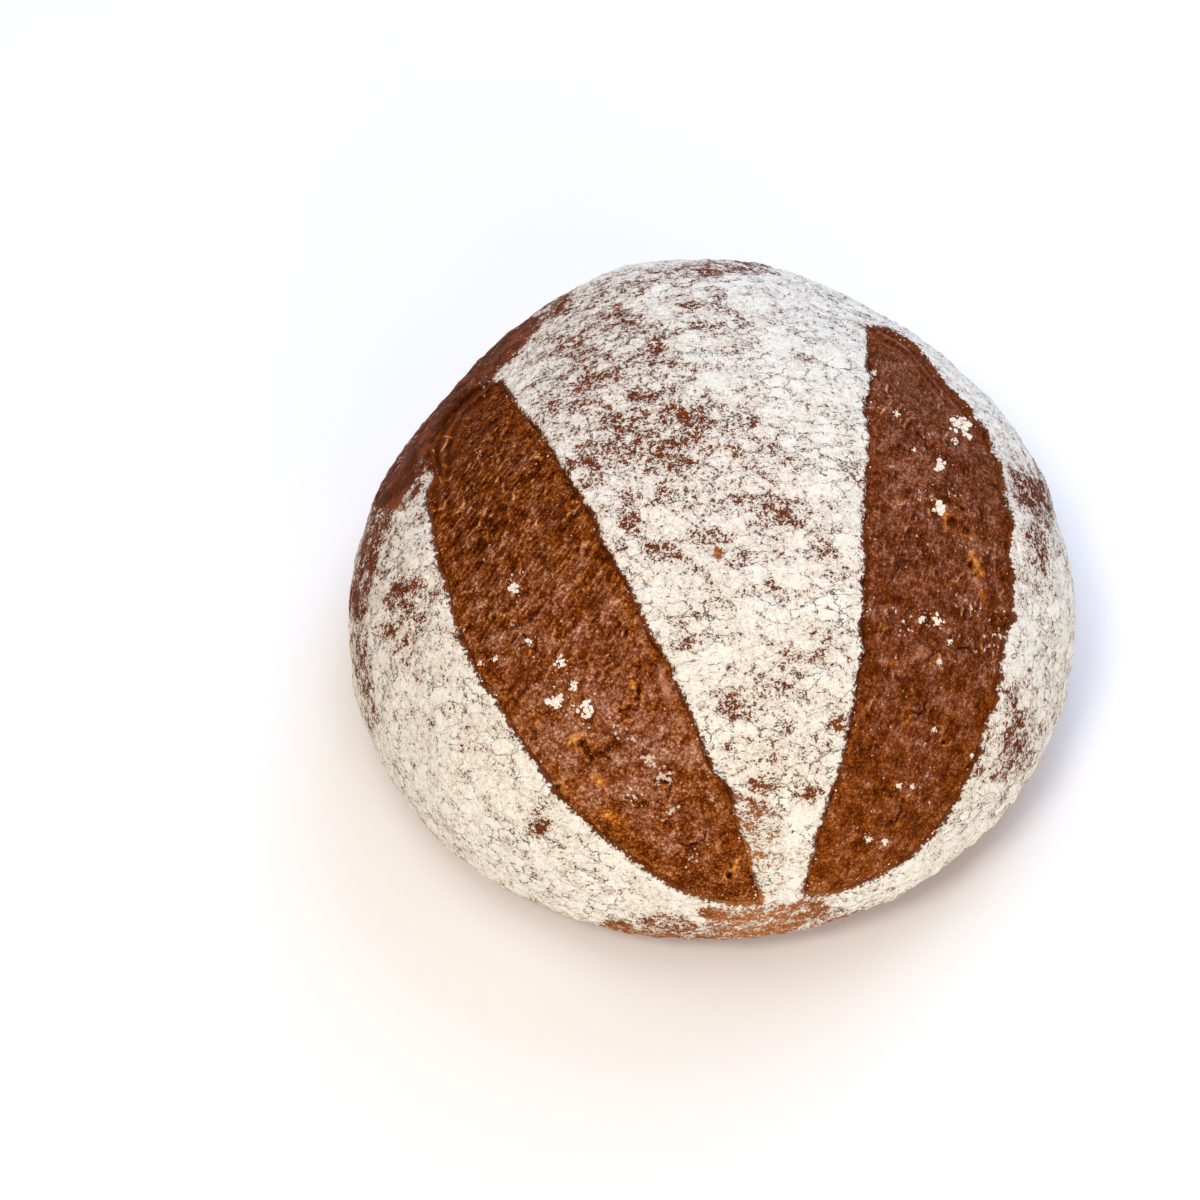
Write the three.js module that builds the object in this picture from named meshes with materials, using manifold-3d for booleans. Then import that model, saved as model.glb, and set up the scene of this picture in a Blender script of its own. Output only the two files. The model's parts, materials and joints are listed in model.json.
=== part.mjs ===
// A round spelt loaf with a flat base, a low dome and two slashes that opened in the oven.
// Millimetres, +Z up. The origin is the middle of the base, +X is to the right and -Y to the front.
import * as THREE from "three";
import { mergeVertices } from "three/addons/utils/BufferGeometryUtils.js";
import Module from "manifold-3d";

const { degToRad, smoothstep } = THREE.MathUtils;

// The loaf's half section, as two quarter superellipses that meet at the widest ring
const HEIGHT = 98;
const RIM_RADIUS = 107;
const RIM_HEIGHT = 18;
const BASE_RADIUS = 86.5;
const DOME_FULLNESS = 2.1; // 2 is an ellipse, and more gives a squarer shoulder
const FLANK_FULLNESS = 2.15;

// The uneven way in which the dough spread: shares of the radius, and where they are largest
const OVAL = 0.015;
const OVAL_ANGLE = degToRad(85);
const LOBES = 0.014;
const LOBE_ANGLE = degToRad(92);

// The loaf is flatter behind each slash: the direction from the middle, the reach and the depth
const FLATS = [
  { azimuth: degToRad(140), elevation: degToRad(38), reach: 46, depth: 6.6 },
  { azimuth: degToRad(50), elevation: degToRad(42), reach: 42, depth: 4.6 },
];

// Low waves all over the crust
const WAVE_HEIGHT = 0.35;
const WAVE_LENGTHS = [61, 43, 31];

// Each slash is laid out on a plane tipped to the front, in rows from its front end to its back end:
// the place along the slash, then its left and right edges
const SLASH_TILT = degToRad(32);
const LEFT_SLASH = [
  [-73, -2, 6],
  [-67, -16.5, 4.5],
  [-50, -37, 0],
  [-25, -54.5, -9],
  [5, -70, -21],
  [35, -76.5, -35],
  [55, -76.5, -45.5],
  [67, -72, -52.5],
  [73, -64, -56],
];
const RIGHT_SLASH = [
  [-72, 17, 27],
  [-66, 18, 42.5],
  [-52, 22, 58],
  [-30, 29.5, 68],
  [-5, 34.5, 76],
  [25, 38.5, 80],
  [48, 42, 78.5],
  [65, 45.5, 71],
  [78, 48.5, 64],
  [83, 50, 57],
];
const LIP_DEPTH = 2.2; // how far the torn crumb lies under the crust at a slash's edges
const CRUMB_BULGE = 1.3; // how far it has risen along the slash's middle
const TEAR_HEIGHT = 0.45; // torn strands of crumb, which cross the slash slantwise in short ridges
const TEAR_WIDTH = 15;
const TEAR_LENGTH = 27;
const TEAR_SLANT = 0.6;
const TEAR_SWAY = 1.8;
const BLADE_FROM = 15; // the cutting prism's two ends, along the normal of the tipped plane
const BLADE_TO = 120;

// Facets
const AROUND = 90;
const DOME_ROWS = 26;
const FLANK_ROWS = 6;
const CRUMB_FINENESS = 1.5; // the crumb's facets to each of the crust's
const EDGE_STEPS = 34;

const CRUST_COLOUR = 0xa98d76;
const CRUST_ROUGHNESS = 0.85;

const wasm = await Module();
wasm.setup();

function solidOf(geometry) {
  const bare = geometry.clone();
  bare.deleteAttribute("normal");
  bare.deleteAttribute("uv");
  const merged = mergeVertices(bare, 1e-4);
  const mesh = new wasm.Mesh({
    numProp: 3,
    vertProperties: merged.attributes.position.array,
    triVerts: new Uint32Array(merged.index.array),
  });
  return new wasm.Manifold(mesh);
}

function geometryOf(solid) {
  const { vertProperties, triVerts } = solid.getMesh();
  const geometry = new THREE.BufferGeometry();
  geometry.setAttribute("position", new THREE.BufferAttribute(vertProperties, 3));
  geometry.setIndex(new THREE.BufferAttribute(triVerts, 1));
  geometry.computeVertexNormals();
  return geometry;
}

// Moves every vertex of a geometry by a function that changes a Vector3.
function reshape(geometry, move) {
  const places = geometry.attributes.position;
  const point = new THREE.Vector3();
  for (let i = 0; i < places.count; i++) {
    point.fromBufferAttribute(places, i);
    move(point);
    places.setXYZ(i, point.x, point.y, point.z);
  }
  return geometry;
}

// The half section from the middle of the base, out to the rim and up to the top.
function loafProfile(fineness) {
  const flankRows = FLANK_ROWS * fineness;
  const domeRows = DOME_ROWS * fineness;
  const points = [new THREE.Vector2(0, 0)];
  for (let row = flankRows; row >= 0; row--) {
    const turn = ((row / flankRows) * Math.PI) / 2;
    const out = Math.cos(turn) ** (2 / FLANK_FULLNESS);
    const down = Math.sin(turn) ** (2 / FLANK_FULLNESS);
    const radius = BASE_RADIUS + (RIM_RADIUS - BASE_RADIUS) * out;
    points.push(new THREE.Vector2(radius, RIM_HEIGHT * (1 - down)));
  }
  for (let row = 1; row <= domeRows; row++) {
    const turn = ((row / domeRows) * Math.PI) / 2;
    const out = Math.cos(turn) ** (2 / DOME_FULLNESS);
    const up = Math.sin(turn) ** (2 / DOME_FULLNESS);
    points.push(new THREE.Vector2(RIM_RADIUS * out, RIM_HEIGHT + (HEIGHT - RIM_HEIGHT) * up));
  }
  return points;
}

// The way out of the dough at a point on its surface.
function outward(point) {
  const rise = Math.max(point.z - RIM_HEIGHT, 0) / (HEIGHT - RIM_HEIGHT) ** 2;
  return new THREE.Vector3(point.x / RIM_RADIUS ** 2, point.y / RIM_RADIUS ** 2, rise).normalize();
}

// How far the crust waves in or out at a point.
function waves(point) {
  const [long, middle, short] = WAVE_LENGTHS.map((length) => (2 * Math.PI) / length);
  const slow = Math.sin(long * point.x + 1.1) * Math.cos(long * point.y - 0.4);
  const across = Math.sin(middle * (point.x - point.y) + 2.3) * Math.cos(middle * point.z);
  const quick = Math.sin(short * (point.x + point.z)) * Math.sin(short * point.y + 0.7);
  return WAVE_HEIGHT * (slow + 0.7 * across + 0.5 * quick);
}

// The whole loaf before it is slashed, with its base on z = 0.
function wholeGeometry(fineness) {
  const flats = FLATS.map(({ azimuth, elevation, reach, depth }) => {
    const way = new THREE.Vector3().setFromSphericalCoords(1, Math.PI / 2 - elevation, azimuth);
    way.set(way.z, way.x, way.y);
    const centre = way.clone().multiply(new THREE.Vector3(RIM_RADIUS, RIM_RADIUS, HEIGHT - RIM_HEIGHT));
    centre.z += RIM_HEIGHT;
    return { way, centre, reach, depth };
  });
  const geometry = new THREE.LatheGeometry(loafProfile(fineness), AROUND * fineness).rotateX(Math.PI / 2);
  return reshape(geometry, (point) => {
    const angle = Math.atan2(point.y, point.x);
    const oval = OVAL * Math.cos(2 * (angle - OVAL_ANGLE));
    const lobes = LOBES * Math.cos(3 * (angle - LOBE_ANGLE));
    point.x *= 1 + oval + lobes;
    point.y *= 1 + oval + lobes;
    const free = smoothstep(point.z, 0, RIM_HEIGHT);
    point.addScaledVector(outward(point), waves(point) * free);
    for (const { way, centre, reach, depth } of flats) {
      const near = Math.exp(-point.distanceToSquared(centre) / reach ** 2);
      point.addScaledVector(way, -depth * near * free);
    }
  });
}

// A slash's two edges as smooth curves on the tipped plane.
function slashEdges(rows) {
  const left = rows.map(([along, leftEdge]) => new THREE.Vector2(leftEdge, along));
  const right = rows.map(([along, , rightEdge]) => new THREE.Vector2(rightEdge, along));
  return [left, right].map((points) => new THREE.SplineCurve(points).getPoints(EDGE_STEPS));
}

// Where an edge is at a place along its slash.
function edgeAt(edge, along) {
  const next = edge.findIndex((point, i) => i > 0 && point.y >= along);
  const a = edge[next - 1];
  const b = edge[next];
  return a.x + ((b.x - a.x) * (along - a.y)) / (b.y - a.y);
}

// How high the crumb has risen at a point, over its level at the slash's edges.
function crumbRise([left, right], point) {
  const along = point.y * Math.cos(SLASH_TILT) + point.z * Math.sin(SLASH_TILT);
  if (along <= left[0].y || along >= left.at(-1).y) return 0;
  const from = edgeAt(left, along);
  const to = edgeAt(right, along);
  const across = (2 * point.x - from - to) / (to - from);
  const over = along + TEAR_SLANT * point.x;
  const down = point.x - TEAR_SLANT * along;
  const sway = TEAR_SWAY * Math.sin(down / TEAR_WIDTH);
  const strands = Math.sin((2 * Math.PI * over) / TEAR_WIDTH + sway);
  const breaks = Math.cos((2 * Math.PI * down) / TEAR_LENGTH);
  return Math.max(0, 1 - across ** 2) * (CRUMB_BULGE + TEAR_HEIGHT * strands * breaks);
}

// The loaf without its crust, whose surface is the floor of both slashes.
function crumbGeometry(whole, slashes) {
  return reshape(whole, (point) => {
    const free = smoothstep(point.z, 0, RIM_HEIGHT);
    const rise = Math.max(...slashes.map((edges) => crumbRise(edges, point)));
    point.addScaledVector(outward(point), (rise - LIP_DEPTH) * free);
    point.z -= LIP_DEPTH * (1 - free); // below the base, so that the base stays whole
  });
}

// The prism that a slash's outline sweeps through the crust.
function bladeGeometry([left, right]) {
  const outline = new THREE.Shape([...left, ...right.toReversed()]);
  const prism = new THREE.ExtrudeGeometry(outline, { depth: BLADE_TO - BLADE_FROM, bevelEnabled: false });
  return prism.translate(0, 0, BLADE_FROM).rotateX(SLASH_TILT);
}

function loaf() {
  const slashes = [LEFT_SLASH, RIGHT_SLASH].map(slashEdges);
  const crust = wholeGeometry(1);
  crust.computeBoundingBox();
  const { x, y } = crust.boundingBox.getCenter(new THREE.Vector3());
  crust.translate(-x, -y, 0);
  const whole = wholeGeometry(CRUMB_FINENESS).translate(-x, -y, 0);
  const crumb = solidOf(crumbGeometry(whole, slashes));
  let solid = solidOf(crust);
  for (const edges of slashes) {
    const opened = solidOf(bladeGeometry(edges)).subtract(crumb);
    solid = solid.subtract(opened);
  }
  const material = new THREE.MeshStandardMaterial({
    color: CRUST_COLOUR,
    roughness: CRUST_ROUGHNESS,
    metalness: 0,
  });
  const mesh = new THREE.Mesh(geometryOf(solid), material);
  mesh.name = "loaf";
  return mesh;
}

const bread = new THREE.Group();
bread.add(loaf());

export default bread;
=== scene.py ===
# %% [markdown]
# # A floured spelt loaf
#
# A hearth loaf is a ball of dough that is dusted with flour, slashed with a blade and baked. The CAD
# model gives its body: a low dome on a flat base, with two slashes that opened in the oven. This
# lesson adds what the flour and the oven did to it: a dimpled crust, torn crumb in the slashes, a
# broken coat of flour, and lumps of flour that lie in the slashes.
#
# Its box is kept.

import json
import math
import random

import bpy
import numpy as np
from mathutils import Matrix, Vector

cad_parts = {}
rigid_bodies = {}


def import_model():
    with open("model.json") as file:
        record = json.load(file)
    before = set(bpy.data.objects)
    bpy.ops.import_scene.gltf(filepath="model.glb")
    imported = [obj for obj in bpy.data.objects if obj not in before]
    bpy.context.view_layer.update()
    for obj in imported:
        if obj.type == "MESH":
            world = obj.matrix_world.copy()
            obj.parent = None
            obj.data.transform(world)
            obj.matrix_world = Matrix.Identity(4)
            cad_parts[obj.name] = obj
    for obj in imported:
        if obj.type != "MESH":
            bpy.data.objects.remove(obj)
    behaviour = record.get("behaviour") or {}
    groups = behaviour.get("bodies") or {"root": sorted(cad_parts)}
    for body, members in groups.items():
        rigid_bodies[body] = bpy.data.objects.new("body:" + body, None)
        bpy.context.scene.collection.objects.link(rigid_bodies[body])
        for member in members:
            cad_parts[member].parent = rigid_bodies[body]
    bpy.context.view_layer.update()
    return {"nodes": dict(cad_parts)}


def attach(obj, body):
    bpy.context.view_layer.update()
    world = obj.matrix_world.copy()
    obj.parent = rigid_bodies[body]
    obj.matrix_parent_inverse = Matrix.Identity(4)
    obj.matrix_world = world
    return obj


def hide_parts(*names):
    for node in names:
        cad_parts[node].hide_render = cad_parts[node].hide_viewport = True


MM = 0.001  # sizes are written in millimetres and turned to metres with this
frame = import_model()
cad_loaf = frame["nodes"]["loaf"]

# %% [markdown]
# ## The camera
#
# The loaf is seen from the front and well above it. The camera could be aimed with a constraint, but
# a place and two angles keep it plain: it tips down by the elevation, and it leans a little, so that
# the picture turns on its own middle.

# %% Camera
AIM = Vector((-31.7, -14.2, 40)) * MM
ELEVATION = math.radians(58)
LEAN = math.radians(-3.5)
DISTANCE = 600 * MM
LENS = 63.5  # millimetres, on Blender's usual 36 mm sensor

bpy.ops.object.camera_add()
camera = bpy.context.object
camera.location = AIM + DISTANCE * Vector((0, -math.cos(ELEVATION), math.sin(ELEVATION)))
camera.rotation_mode = "ZYX"
camera.rotation_euler = (math.pi / 2 - ELEVATION, 0, LEAN)
camera.data.lens = LENS
bpy.context.scene.camera = camera
print("camera at, mm:", [round(place / MM) for place in camera.location])

# %% [markdown]
# ## Where the slashes are
#
# Both slashes are laid out on a plane that is tipped to the front, as they are in the CAD model. Each
# row gives a place along the slash, then its left and right edges there. A smooth curve through the
# rows gives the edges, and every later step that needs the slashes reads these curves.

# %% Slash edges
TILT = math.radians(32)
EDGE_STEPS = 34
SLASH_ROWS = {
    "left": [
        (-73, -2, 6),
        (-67, -16.5, 4.5),
        (-50, -37, 0),
        (-25, -54.5, -9),
        (5, -70, -21),
        (35, -76.5, -35),
        (55, -76.5, -45.5),
        (67, -72, -52.5),
        (73, -64, -56),
    ],
    "right": [
        (-72, 17, 27),
        (-66, 18, 42.5),
        (-52, 22, 58),
        (-30, 29.5, 68),
        (-5, 34.5, 76),
        (25, 38.5, 80),
        (48, 42, 78.5),
        (65, 45.5, 71),
        (78, 48.5, 64),
        (83, 50, 57),
    ],
}


def smooth_edge(points):
    """A Catmull-Rom curve through the points, sampled as the CAD model samples it."""
    points = np.array(points, dtype=float)
    padded = np.vstack([points[0], points, points[-1]])
    curve = []
    for place in np.linspace(0, len(points) - 1, EDGE_STEPS + 1):
        start = min(int(place), len(points) - 2)
        t = place - start
        a, b, c, d = padded[start : start + 4]
        bend = (2 * a - 5 * b + 4 * c - d) * t**2 + (3 * b - a - 3 * c + d) * t**3
        curve.append(b + 0.5 * ((c - a) * t + bend))
    return np.array(curve)


edges = {}
for side, rows in SLASH_ROWS.items():
    left = smooth_edge([(row[1], row[0]) for row in rows])
    right = smooth_edge([(row[2], row[0]) for row in rows])
    edges[side] = (left, right)
    widest = (right[:, 0] - left[:, 0]).max()
    print(f"{side} slash: {np.ptp(left[:, 1]):.0f} mm long, {widest:.0f} mm wide")

# %% [markdown]
# ## The body of the crust
#
# The CAD loaf is made of large flat facets, and dimples need many small faces. The copy of it is
# merged, because its triangles are loose, and then rebuilt by a voxel Remesh, which gives a closed skin
# of even squares. At the sharp end of a slash it can leave a loose scrap, so all that isn't linked to
# the top of the loaf is deleted. A little smoothing takes away the facets and rounds the lips.

# %% Remesh a copy of the loaf
MERGE_DISTANCE = 0.01 * MM
SKIN_VOXEL = 1.1 * MM
FACET_SMOOTHING = 4


def make_active(piece):
    bpy.ops.object.select_all(action="DESELECT")
    piece.select_set(True)
    bpy.context.view_layer.objects.active = piece


def apply_modifier(piece, kind, **settings):
    modifier = piece.modifiers.new(kind.title(), kind)
    for name, value in settings.items():
        setattr(modifier, name, value)
    make_active(piece)
    bpy.ops.object.modifier_apply(modifier=modifier.name)


def edit_with(piece, level, chosen):
    """Opens a piece in edit mode with only the chosen vertices or faces selected."""
    make_active(piece)
    bpy.ops.object.mode_set(mode="EDIT")
    bpy.ops.mesh.select_mode(type=level)
    bpy.ops.mesh.select_all(action="DESELECT")
    bpy.ops.object.mode_set(mode="OBJECT")
    elements = piece.data.vertices if level == "VERT" else piece.data.polygons
    for index in chosen:
        elements[index].select = True
    bpy.ops.object.mode_set(mode="EDIT")


crust = bpy.data.objects.new("crust", cad_loaf.data.copy())
bpy.context.collection.objects.link(crust)
crust.data.materials.clear()
make_active(crust)
bpy.ops.object.mode_set(mode="EDIT")
bpy.ops.mesh.select_all(action="SELECT")
bpy.ops.mesh.remove_doubles(threshold=MERGE_DISTANCE)
bpy.ops.object.mode_set(mode="OBJECT")
apply_modifier(crust, "REMESH", mode="VOXEL", voxel_size=SKIN_VOXEL)
topmost = max(crust.data.vertices, key=lambda vertex: vertex.co.z)
edit_with(crust, "VERT", [topmost.index])
bpy.ops.mesh.select_linked()
bpy.ops.mesh.select_all(action="INVERT")
bpy.ops.mesh.delete(type="VERT")
bpy.ops.object.mode_set(mode="OBJECT")
apply_modifier(crust, "SMOOTH", iterations=FACET_SMOOTHING)
print("crust:", len(crust.data.polygons), "faces")

# %% [markdown]
# ## The base
#
# The loaf stood on the oven floor, so its base is flat and bears no dimples. Thousands of small
# squares there would be wasted: they are deleted, and one face closes the hole that they leave.

# %% Close the base with one face
BASE_LEVEL = 0.5 * MM
BASE_FACING = -0.95  # faces of the base point down at least as much as this


def vertex_vectors(vertices, name):
    """One row of three numbers for each vertex."""
    flat = np.empty(len(vertices) * 3, dtype=np.float32)
    vertices.foreach_get(name, flat)
    return flat.reshape(-1, 3).astype(float)


def vertex_places(piece):
    return vertex_vectors(piece.data.vertices, "co")


lowest = vertex_places(crust)[:, 2].min()
base_faces = [
    face.index
    for face in crust.data.polygons
    if face.normal.z < BASE_FACING and face.center.z < lowest + BASE_LEVEL
]
edit_with(crust, "FACE", base_faces)
bpy.ops.mesh.delete(type="FACE")
bpy.ops.mesh.select_mode(type="EDGE")
bpy.ops.mesh.select_non_manifold()
bpy.ops.mesh.edge_face_add()
bpy.ops.object.mode_set(mode="OBJECT")
crust.data.update()
print("crust with a plain base:", len(crust.data.polygons), "faces")

# %% [markdown]
# ## Dimples in the crust
#
# As dough springs in the oven, its skin puckers: shallow dimples about a centimetre across, and small
# lumps of a few millimetres. Sculpting them would take hours. Displace modifiers that read cloud
# textures push the skin in and out along its normals, and a vertex group keeps the base still.

# %% Pucker the skin
DIMPLES = {  # size and height in millimetres
    "dimple": (13, 1.1),
    "pucker": (5, 0.9),
    "flour_cake": (2.4, 0.8),
}
STILL_HEIGHT = 1 * MM
FREE_HEIGHT = 9 * MM
WEIGHT_STEPS = 10  # from no weight to full weight


def smooth_step(low, high, values):
    share = np.clip((values - low) / (high - low), 0, 1)
    return share * share * (3 - 2 * share)


def weigh(piece, name, weights):
    """Makes a vertex group from one weight per vertex."""
    group = piece.vertex_groups.new(name=name)
    for step in range(WEIGHT_STEPS + 1):
        members = np.flatnonzero(np.round(weights * WEIGHT_STEPS) == step)
        group.add(members.tolist(), step / WEIGHT_STEPS, "REPLACE")
    return group.name


def pucker(piece, name, size, height, group):
    clouds = bpy.data.textures.new(name, "CLOUDS")
    clouds.noise_scale = size * MM
    clouds.noise_depth = 1
    apply_modifier(
        piece, "DISPLACE", texture=clouds, texture_coords="LOCAL", strength=height * MM, vertex_group=group
    )


free_group = weigh(crust, "free", smooth_step(STILL_HEIGHT, FREE_HEIGHT, vertex_places(crust)[:, 2]))
for name, (size, height) in DIMPLES.items():
    pucker(crust, name, size, height, free_group)
print("crust after puckering, mm:", [round(side / MM, 1) for side in crust.dimensions])

# %% [markdown]
# ## Torn crumb in the slashes
#
# Where a slash opened, the crumb below tore and browned: it has strands, blisters and pits that are
# finer than the crust's squares. Each tear is its own sheet: a grid is laid in the slash's outline on
# the tipped plane, and a Shrinkwrap drops it on to the slash's floor.

# %% Lay a sheet in each slash
SHEET_CELL = 0.30  # millimetres
EDGE_GAP = 0.25  # millimetres between a sheet and its slash's edge
DROP_HEIGHT = 160 * MM
FLOOR_SMOOTHING = 30

to_loaf = Matrix.Rotation(TILT, 3, "X")  # from the tipped plane to the loaf's frame
to_plane = np.array(to_loaf.transposed())


def move_vertices(piece, places):
    piece.data.vertices.foreach_set("co", places.ravel())
    piece.data.update()


def lay_sheet(side):
    left, right = edges[side]
    along_cells = round(np.ptp(left[:, 1]) / SHEET_CELL)
    across_cells = round((right[:, 0] - left[:, 0]).max() / SHEET_CELL)
    bpy.ops.object.select_all(action="DESELECT")
    bpy.ops.mesh.primitive_grid_add(x_subdivisions=across_cells, y_subdivisions=along_cells, size=2)
    sheet = bpy.context.object
    sheet.name = f"{side}_tear"
    places = vertex_places(sheet)
    gap = EDGE_GAP / np.ptp(left[:, 1])
    step = np.clip((places[:, 1] + 1) / 2, gap, 1 - gap) * EDGE_STEPS
    stations = np.arange(EDGE_STEPS + 1)
    from_u = np.interp(step, stations, left[:, 0]) + EDGE_GAP
    to_u = np.interp(step, stations, right[:, 0]) - EDGE_GAP
    across = (places[:, 0] + 1) / 2
    places[:, 0] = (from_u + (to_u - from_u) * across) * MM
    places[:, 1] = np.interp(step, stations, left[:, 1]) * MM
    places[:, 2] = DROP_HEIGHT
    move_vertices(sheet, places)
    sheet.rotation_euler.x = TILT
    apply_modifier(
        sheet,
        "SHRINKWRAP",
        target=cad_loaf,
        wrap_method="PROJECT",
        use_project_z=True,
        use_positive_direction=False,
        use_negative_direction=True,
    )
    bpy.ops.object.transform_apply(location=False, rotation=True, scale=False)
    return sheet


tears = {side: lay_sheet(side) for side in SLASH_ROWS}
for side, tear in tears.items():
    print(f"{side} tear:", len(tear.data.polygons), "faces")

# %% [markdown]
# ## How far a point is from a slash's edge
#
# The flour stops sharply at a slash's edge, and the torn crumb dips under the lip there. Both need
# the same measure: the distance in millimetres to the nearest edge, above zero inside a slash. It is
# worked out on the tipped plane, where the outlines are.

# %% Measure from the slash edges
BACK_OF_LOAF = -60.0  # millimetres, for points that face away from the slashes' side
SHORTEST_LINE = 1e-9  # stands in for no length at all, which can't be divided by


def plane_places(piece):
    """Where each vertex is on the tipped plane, and how high over it, in millimetres."""
    return vertex_places(piece) @ to_plane.T / MM


def plane_facing(piece):
    """How squarely each vertex faces the tipped plane's side: 1 fully, and below 0 not at all."""
    return (vertex_vectors(piece.data.vertex_normals, "vector") @ to_plane.T)[:, 2]


def line_distance(on_plane, start, end):
    """How far each point is from the straight line between two ends."""
    off_u, off_v = on_plane[:, 0] - start[0], on_plane[:, 1] - start[1]
    run_u, run_v = end[0] - start[0], end[1] - start[1]
    length_squared = max(run_u**2 + run_v**2, SHORTEST_LINE)
    reach = np.clip((off_u * run_u + off_v * run_v) / length_squared, 0, 1)
    return np.hypot(off_u - reach * run_u, off_v - reach * run_v)


def inside_distance(on_plane, side):
    """How far inside a slash each point is, or below zero, how far outside it."""
    left, right = edges[side]
    outline = np.vstack([left, right[::-1]])
    nearest = np.full(len(on_plane), np.inf)
    for start, end in zip(outline, np.roll(outline, -1, axis=0)):
        nearest = np.minimum(nearest, line_distance(on_plane, start, end))
    u, v, _ = on_plane.T
    between = (u > np.interp(v, left[:, 1], left[:, 0])) & (u < np.interp(v, right[:, 1], right[:, 0]))
    inside = between & (v > left[0, 1]) & (v < left[-1, 1])
    return np.where(inside, nearest, -nearest)


def set_attribute(piece, name, values):
    attribute = piece.data.attributes.new(name, "FLOAT", "POINT")
    attribute.data.foreach_set("value", np.asarray(values, dtype=np.float32))


crust_on_plane = plane_places(crust)
crust_facing = plane_facing(crust)
slash_mm = np.maximum(inside_distance(crust_on_plane, "left"), inside_distance(crust_on_plane, "right"))
slash_mm[crust_facing < 0] = BACK_OF_LOAF
set_attribute(crust, "slash_mm", slash_mm)
print("crust points inside the slashes:", int((slash_mm > 0).sum()))

# %% [markdown]
# ## Ragged lips
#
# A blade cuts a clean line, but the crust breaks as the slash opens, so its lips are ragged. Points
# near a lip slide sideways by a random amount, which changes every few millimetres along the slash.

# %% Break the lips
RAG_SPACING = 1.6  # millimetres between random amounts
RAG_WIDTH = 0.45 * MM
RAG_REACH = 2.5  # millimetres from the edge
RAG_CALM = 4  # millimetres from each end of a slash over which its lips get ragged
RAG_SEED = 11


def between_ends(along, first, last, calm):
    """From 0 at both ends of a slash to 1 past their calm stretches."""
    return smooth_step(first, first + calm, along) * (1 - smooth_step(last - calm, last, along))


rag = np.random.default_rng(RAG_SEED)
crust_places = vertex_places(crust)
u, v, _ = crust_on_plane.T
for pair in edges.values():
    for curve in pair:
        stations = np.arange(curve[0, 1], curve[-1, 1], RAG_SPACING)
        slides = rag.normal(0, RAG_WIDTH, len(stations))
        away = u - np.interp(v, curve[:, 1], curve[:, 0])
        near = np.exp(-((away / RAG_REACH) ** 2)) * (crust_facing > 0)
        near *= between_ends(v, stations[0], stations[-1], RAG_CALM)
        crust_places[:, 0] += near * np.interp(v, stations, slides)
move_vertices(crust, crust_places)
print(f"lips broken by about {RAG_WIDTH / MM:.1f} mm")

# %% [markdown]
# ## Room for the crumb
#
# The sheets of crumb lie where the floors of the slashes are. The crust's own floors, which nobody
# will see, sink a little, so that they don't show through the crumb.

# %% Sink the floors under the crumb
SUNK_DEPTH = 3.4 * MM
SUNK_FROM = 0.6  # millimetres in from a slash's edge
SUNK_TO = 2.4

sunk = SUNK_DEPTH * smooth_step(SUNK_FROM, SUNK_TO, slash_mm)
crust_normals = vertex_vectors(crust.data.vertex_normals, "vector")
move_vertices(crust, vertex_places(crust) - crust_normals * sunk[:, None])
print(f"floors sunk by up to {sunk.max() / MM:.1f} mm")

# %% [markdown]
# ## Strands
#
# Crumb tears into strands that run slantwise over a slash. A sculptor would draw them with a brush, one
# by one. They have sharp crests, so here a Displace modifier reads a ridged texture, through an empty
# that is turned and stretched along them.

# %% Strands of crumb
STRAND_ANGLE = {"left": math.radians(52), "right": math.radians(66)}
STRAND_SIZE = Vector((5.0, 1.5, 5.0)) * MM
STRAND_HEIGHT = 0.38 * MM


def pull_strands(tear, side, group):
    bpy.ops.object.empty_add()
    along_strands = bpy.context.object
    along_strands.matrix_world = (
        to_loaf.to_4x4() @ Matrix.Rotation(STRAND_ANGLE[side], 4, "Z") @ Matrix.Diagonal((*STRAND_SIZE, 1))
    )
    ridges = bpy.data.textures.new(f"{side}_strands", "MUSGRAVE")
    ridges.musgrave_type = "RIDGED_MULTIFRACTAL"
    ridges.noise_scale = 1
    ridges.octaves = 2
    apply_modifier(
        tear,
        "DISPLACE",
        texture=ridges,
        texture_coords="OBJECT",
        texture_coords_object=along_strands,
        strength=STRAND_HEIGHT,
        vertex_group=group,
    )
    bpy.data.objects.remove(along_strands)


for side, angle in STRAND_ANGLE.items():
    print(f"{side} tear: strands at {math.degrees(angle):.0f} degrees")

# %% [markdown]
# ## Swells, knobs and grit
#
# Between the strands the crumb swells and has knobs and a fine grit of broken cells. Displace
# modifiers with cloud textures give each size. To the front these lumps are higher and the strands
# lower. How far the vertices moved is kept as attributes, so that the crests can be painted lighter
# than the hollows, as painted light and shade.

# %% Shape the torn crumb
CRUMB_LUMPS = {  # size and height in millimetres
    "swell": (9, 1.1),
    "knob": (2.6, 0.9),
    "grit": (1.1, 0.35),
}
STRANDS_FROM = {"left": -35, "right": -90}  # places along the slashes, in millimetres
STRANDS_FULL = {"left": 20, "right": 120}
FEWEST_STRANDS = 0.35
LUMPS_SMOOTHED = 0.55  # how much of the lumps the strands smooth away
LUMPINESS = {"left": 0.85, "right": 0.6}  # the right slash opened more evenly
SMOOTH_WIDTH = 0.2  # millimetres in from the edge where the crumb starts to be rough
INNER_WIDTH = 1.8  # and where it is as rough as in the middle
PLANE_NORMAL = np.array(to_loaf @ Vector((0, 0, 1)))


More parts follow.
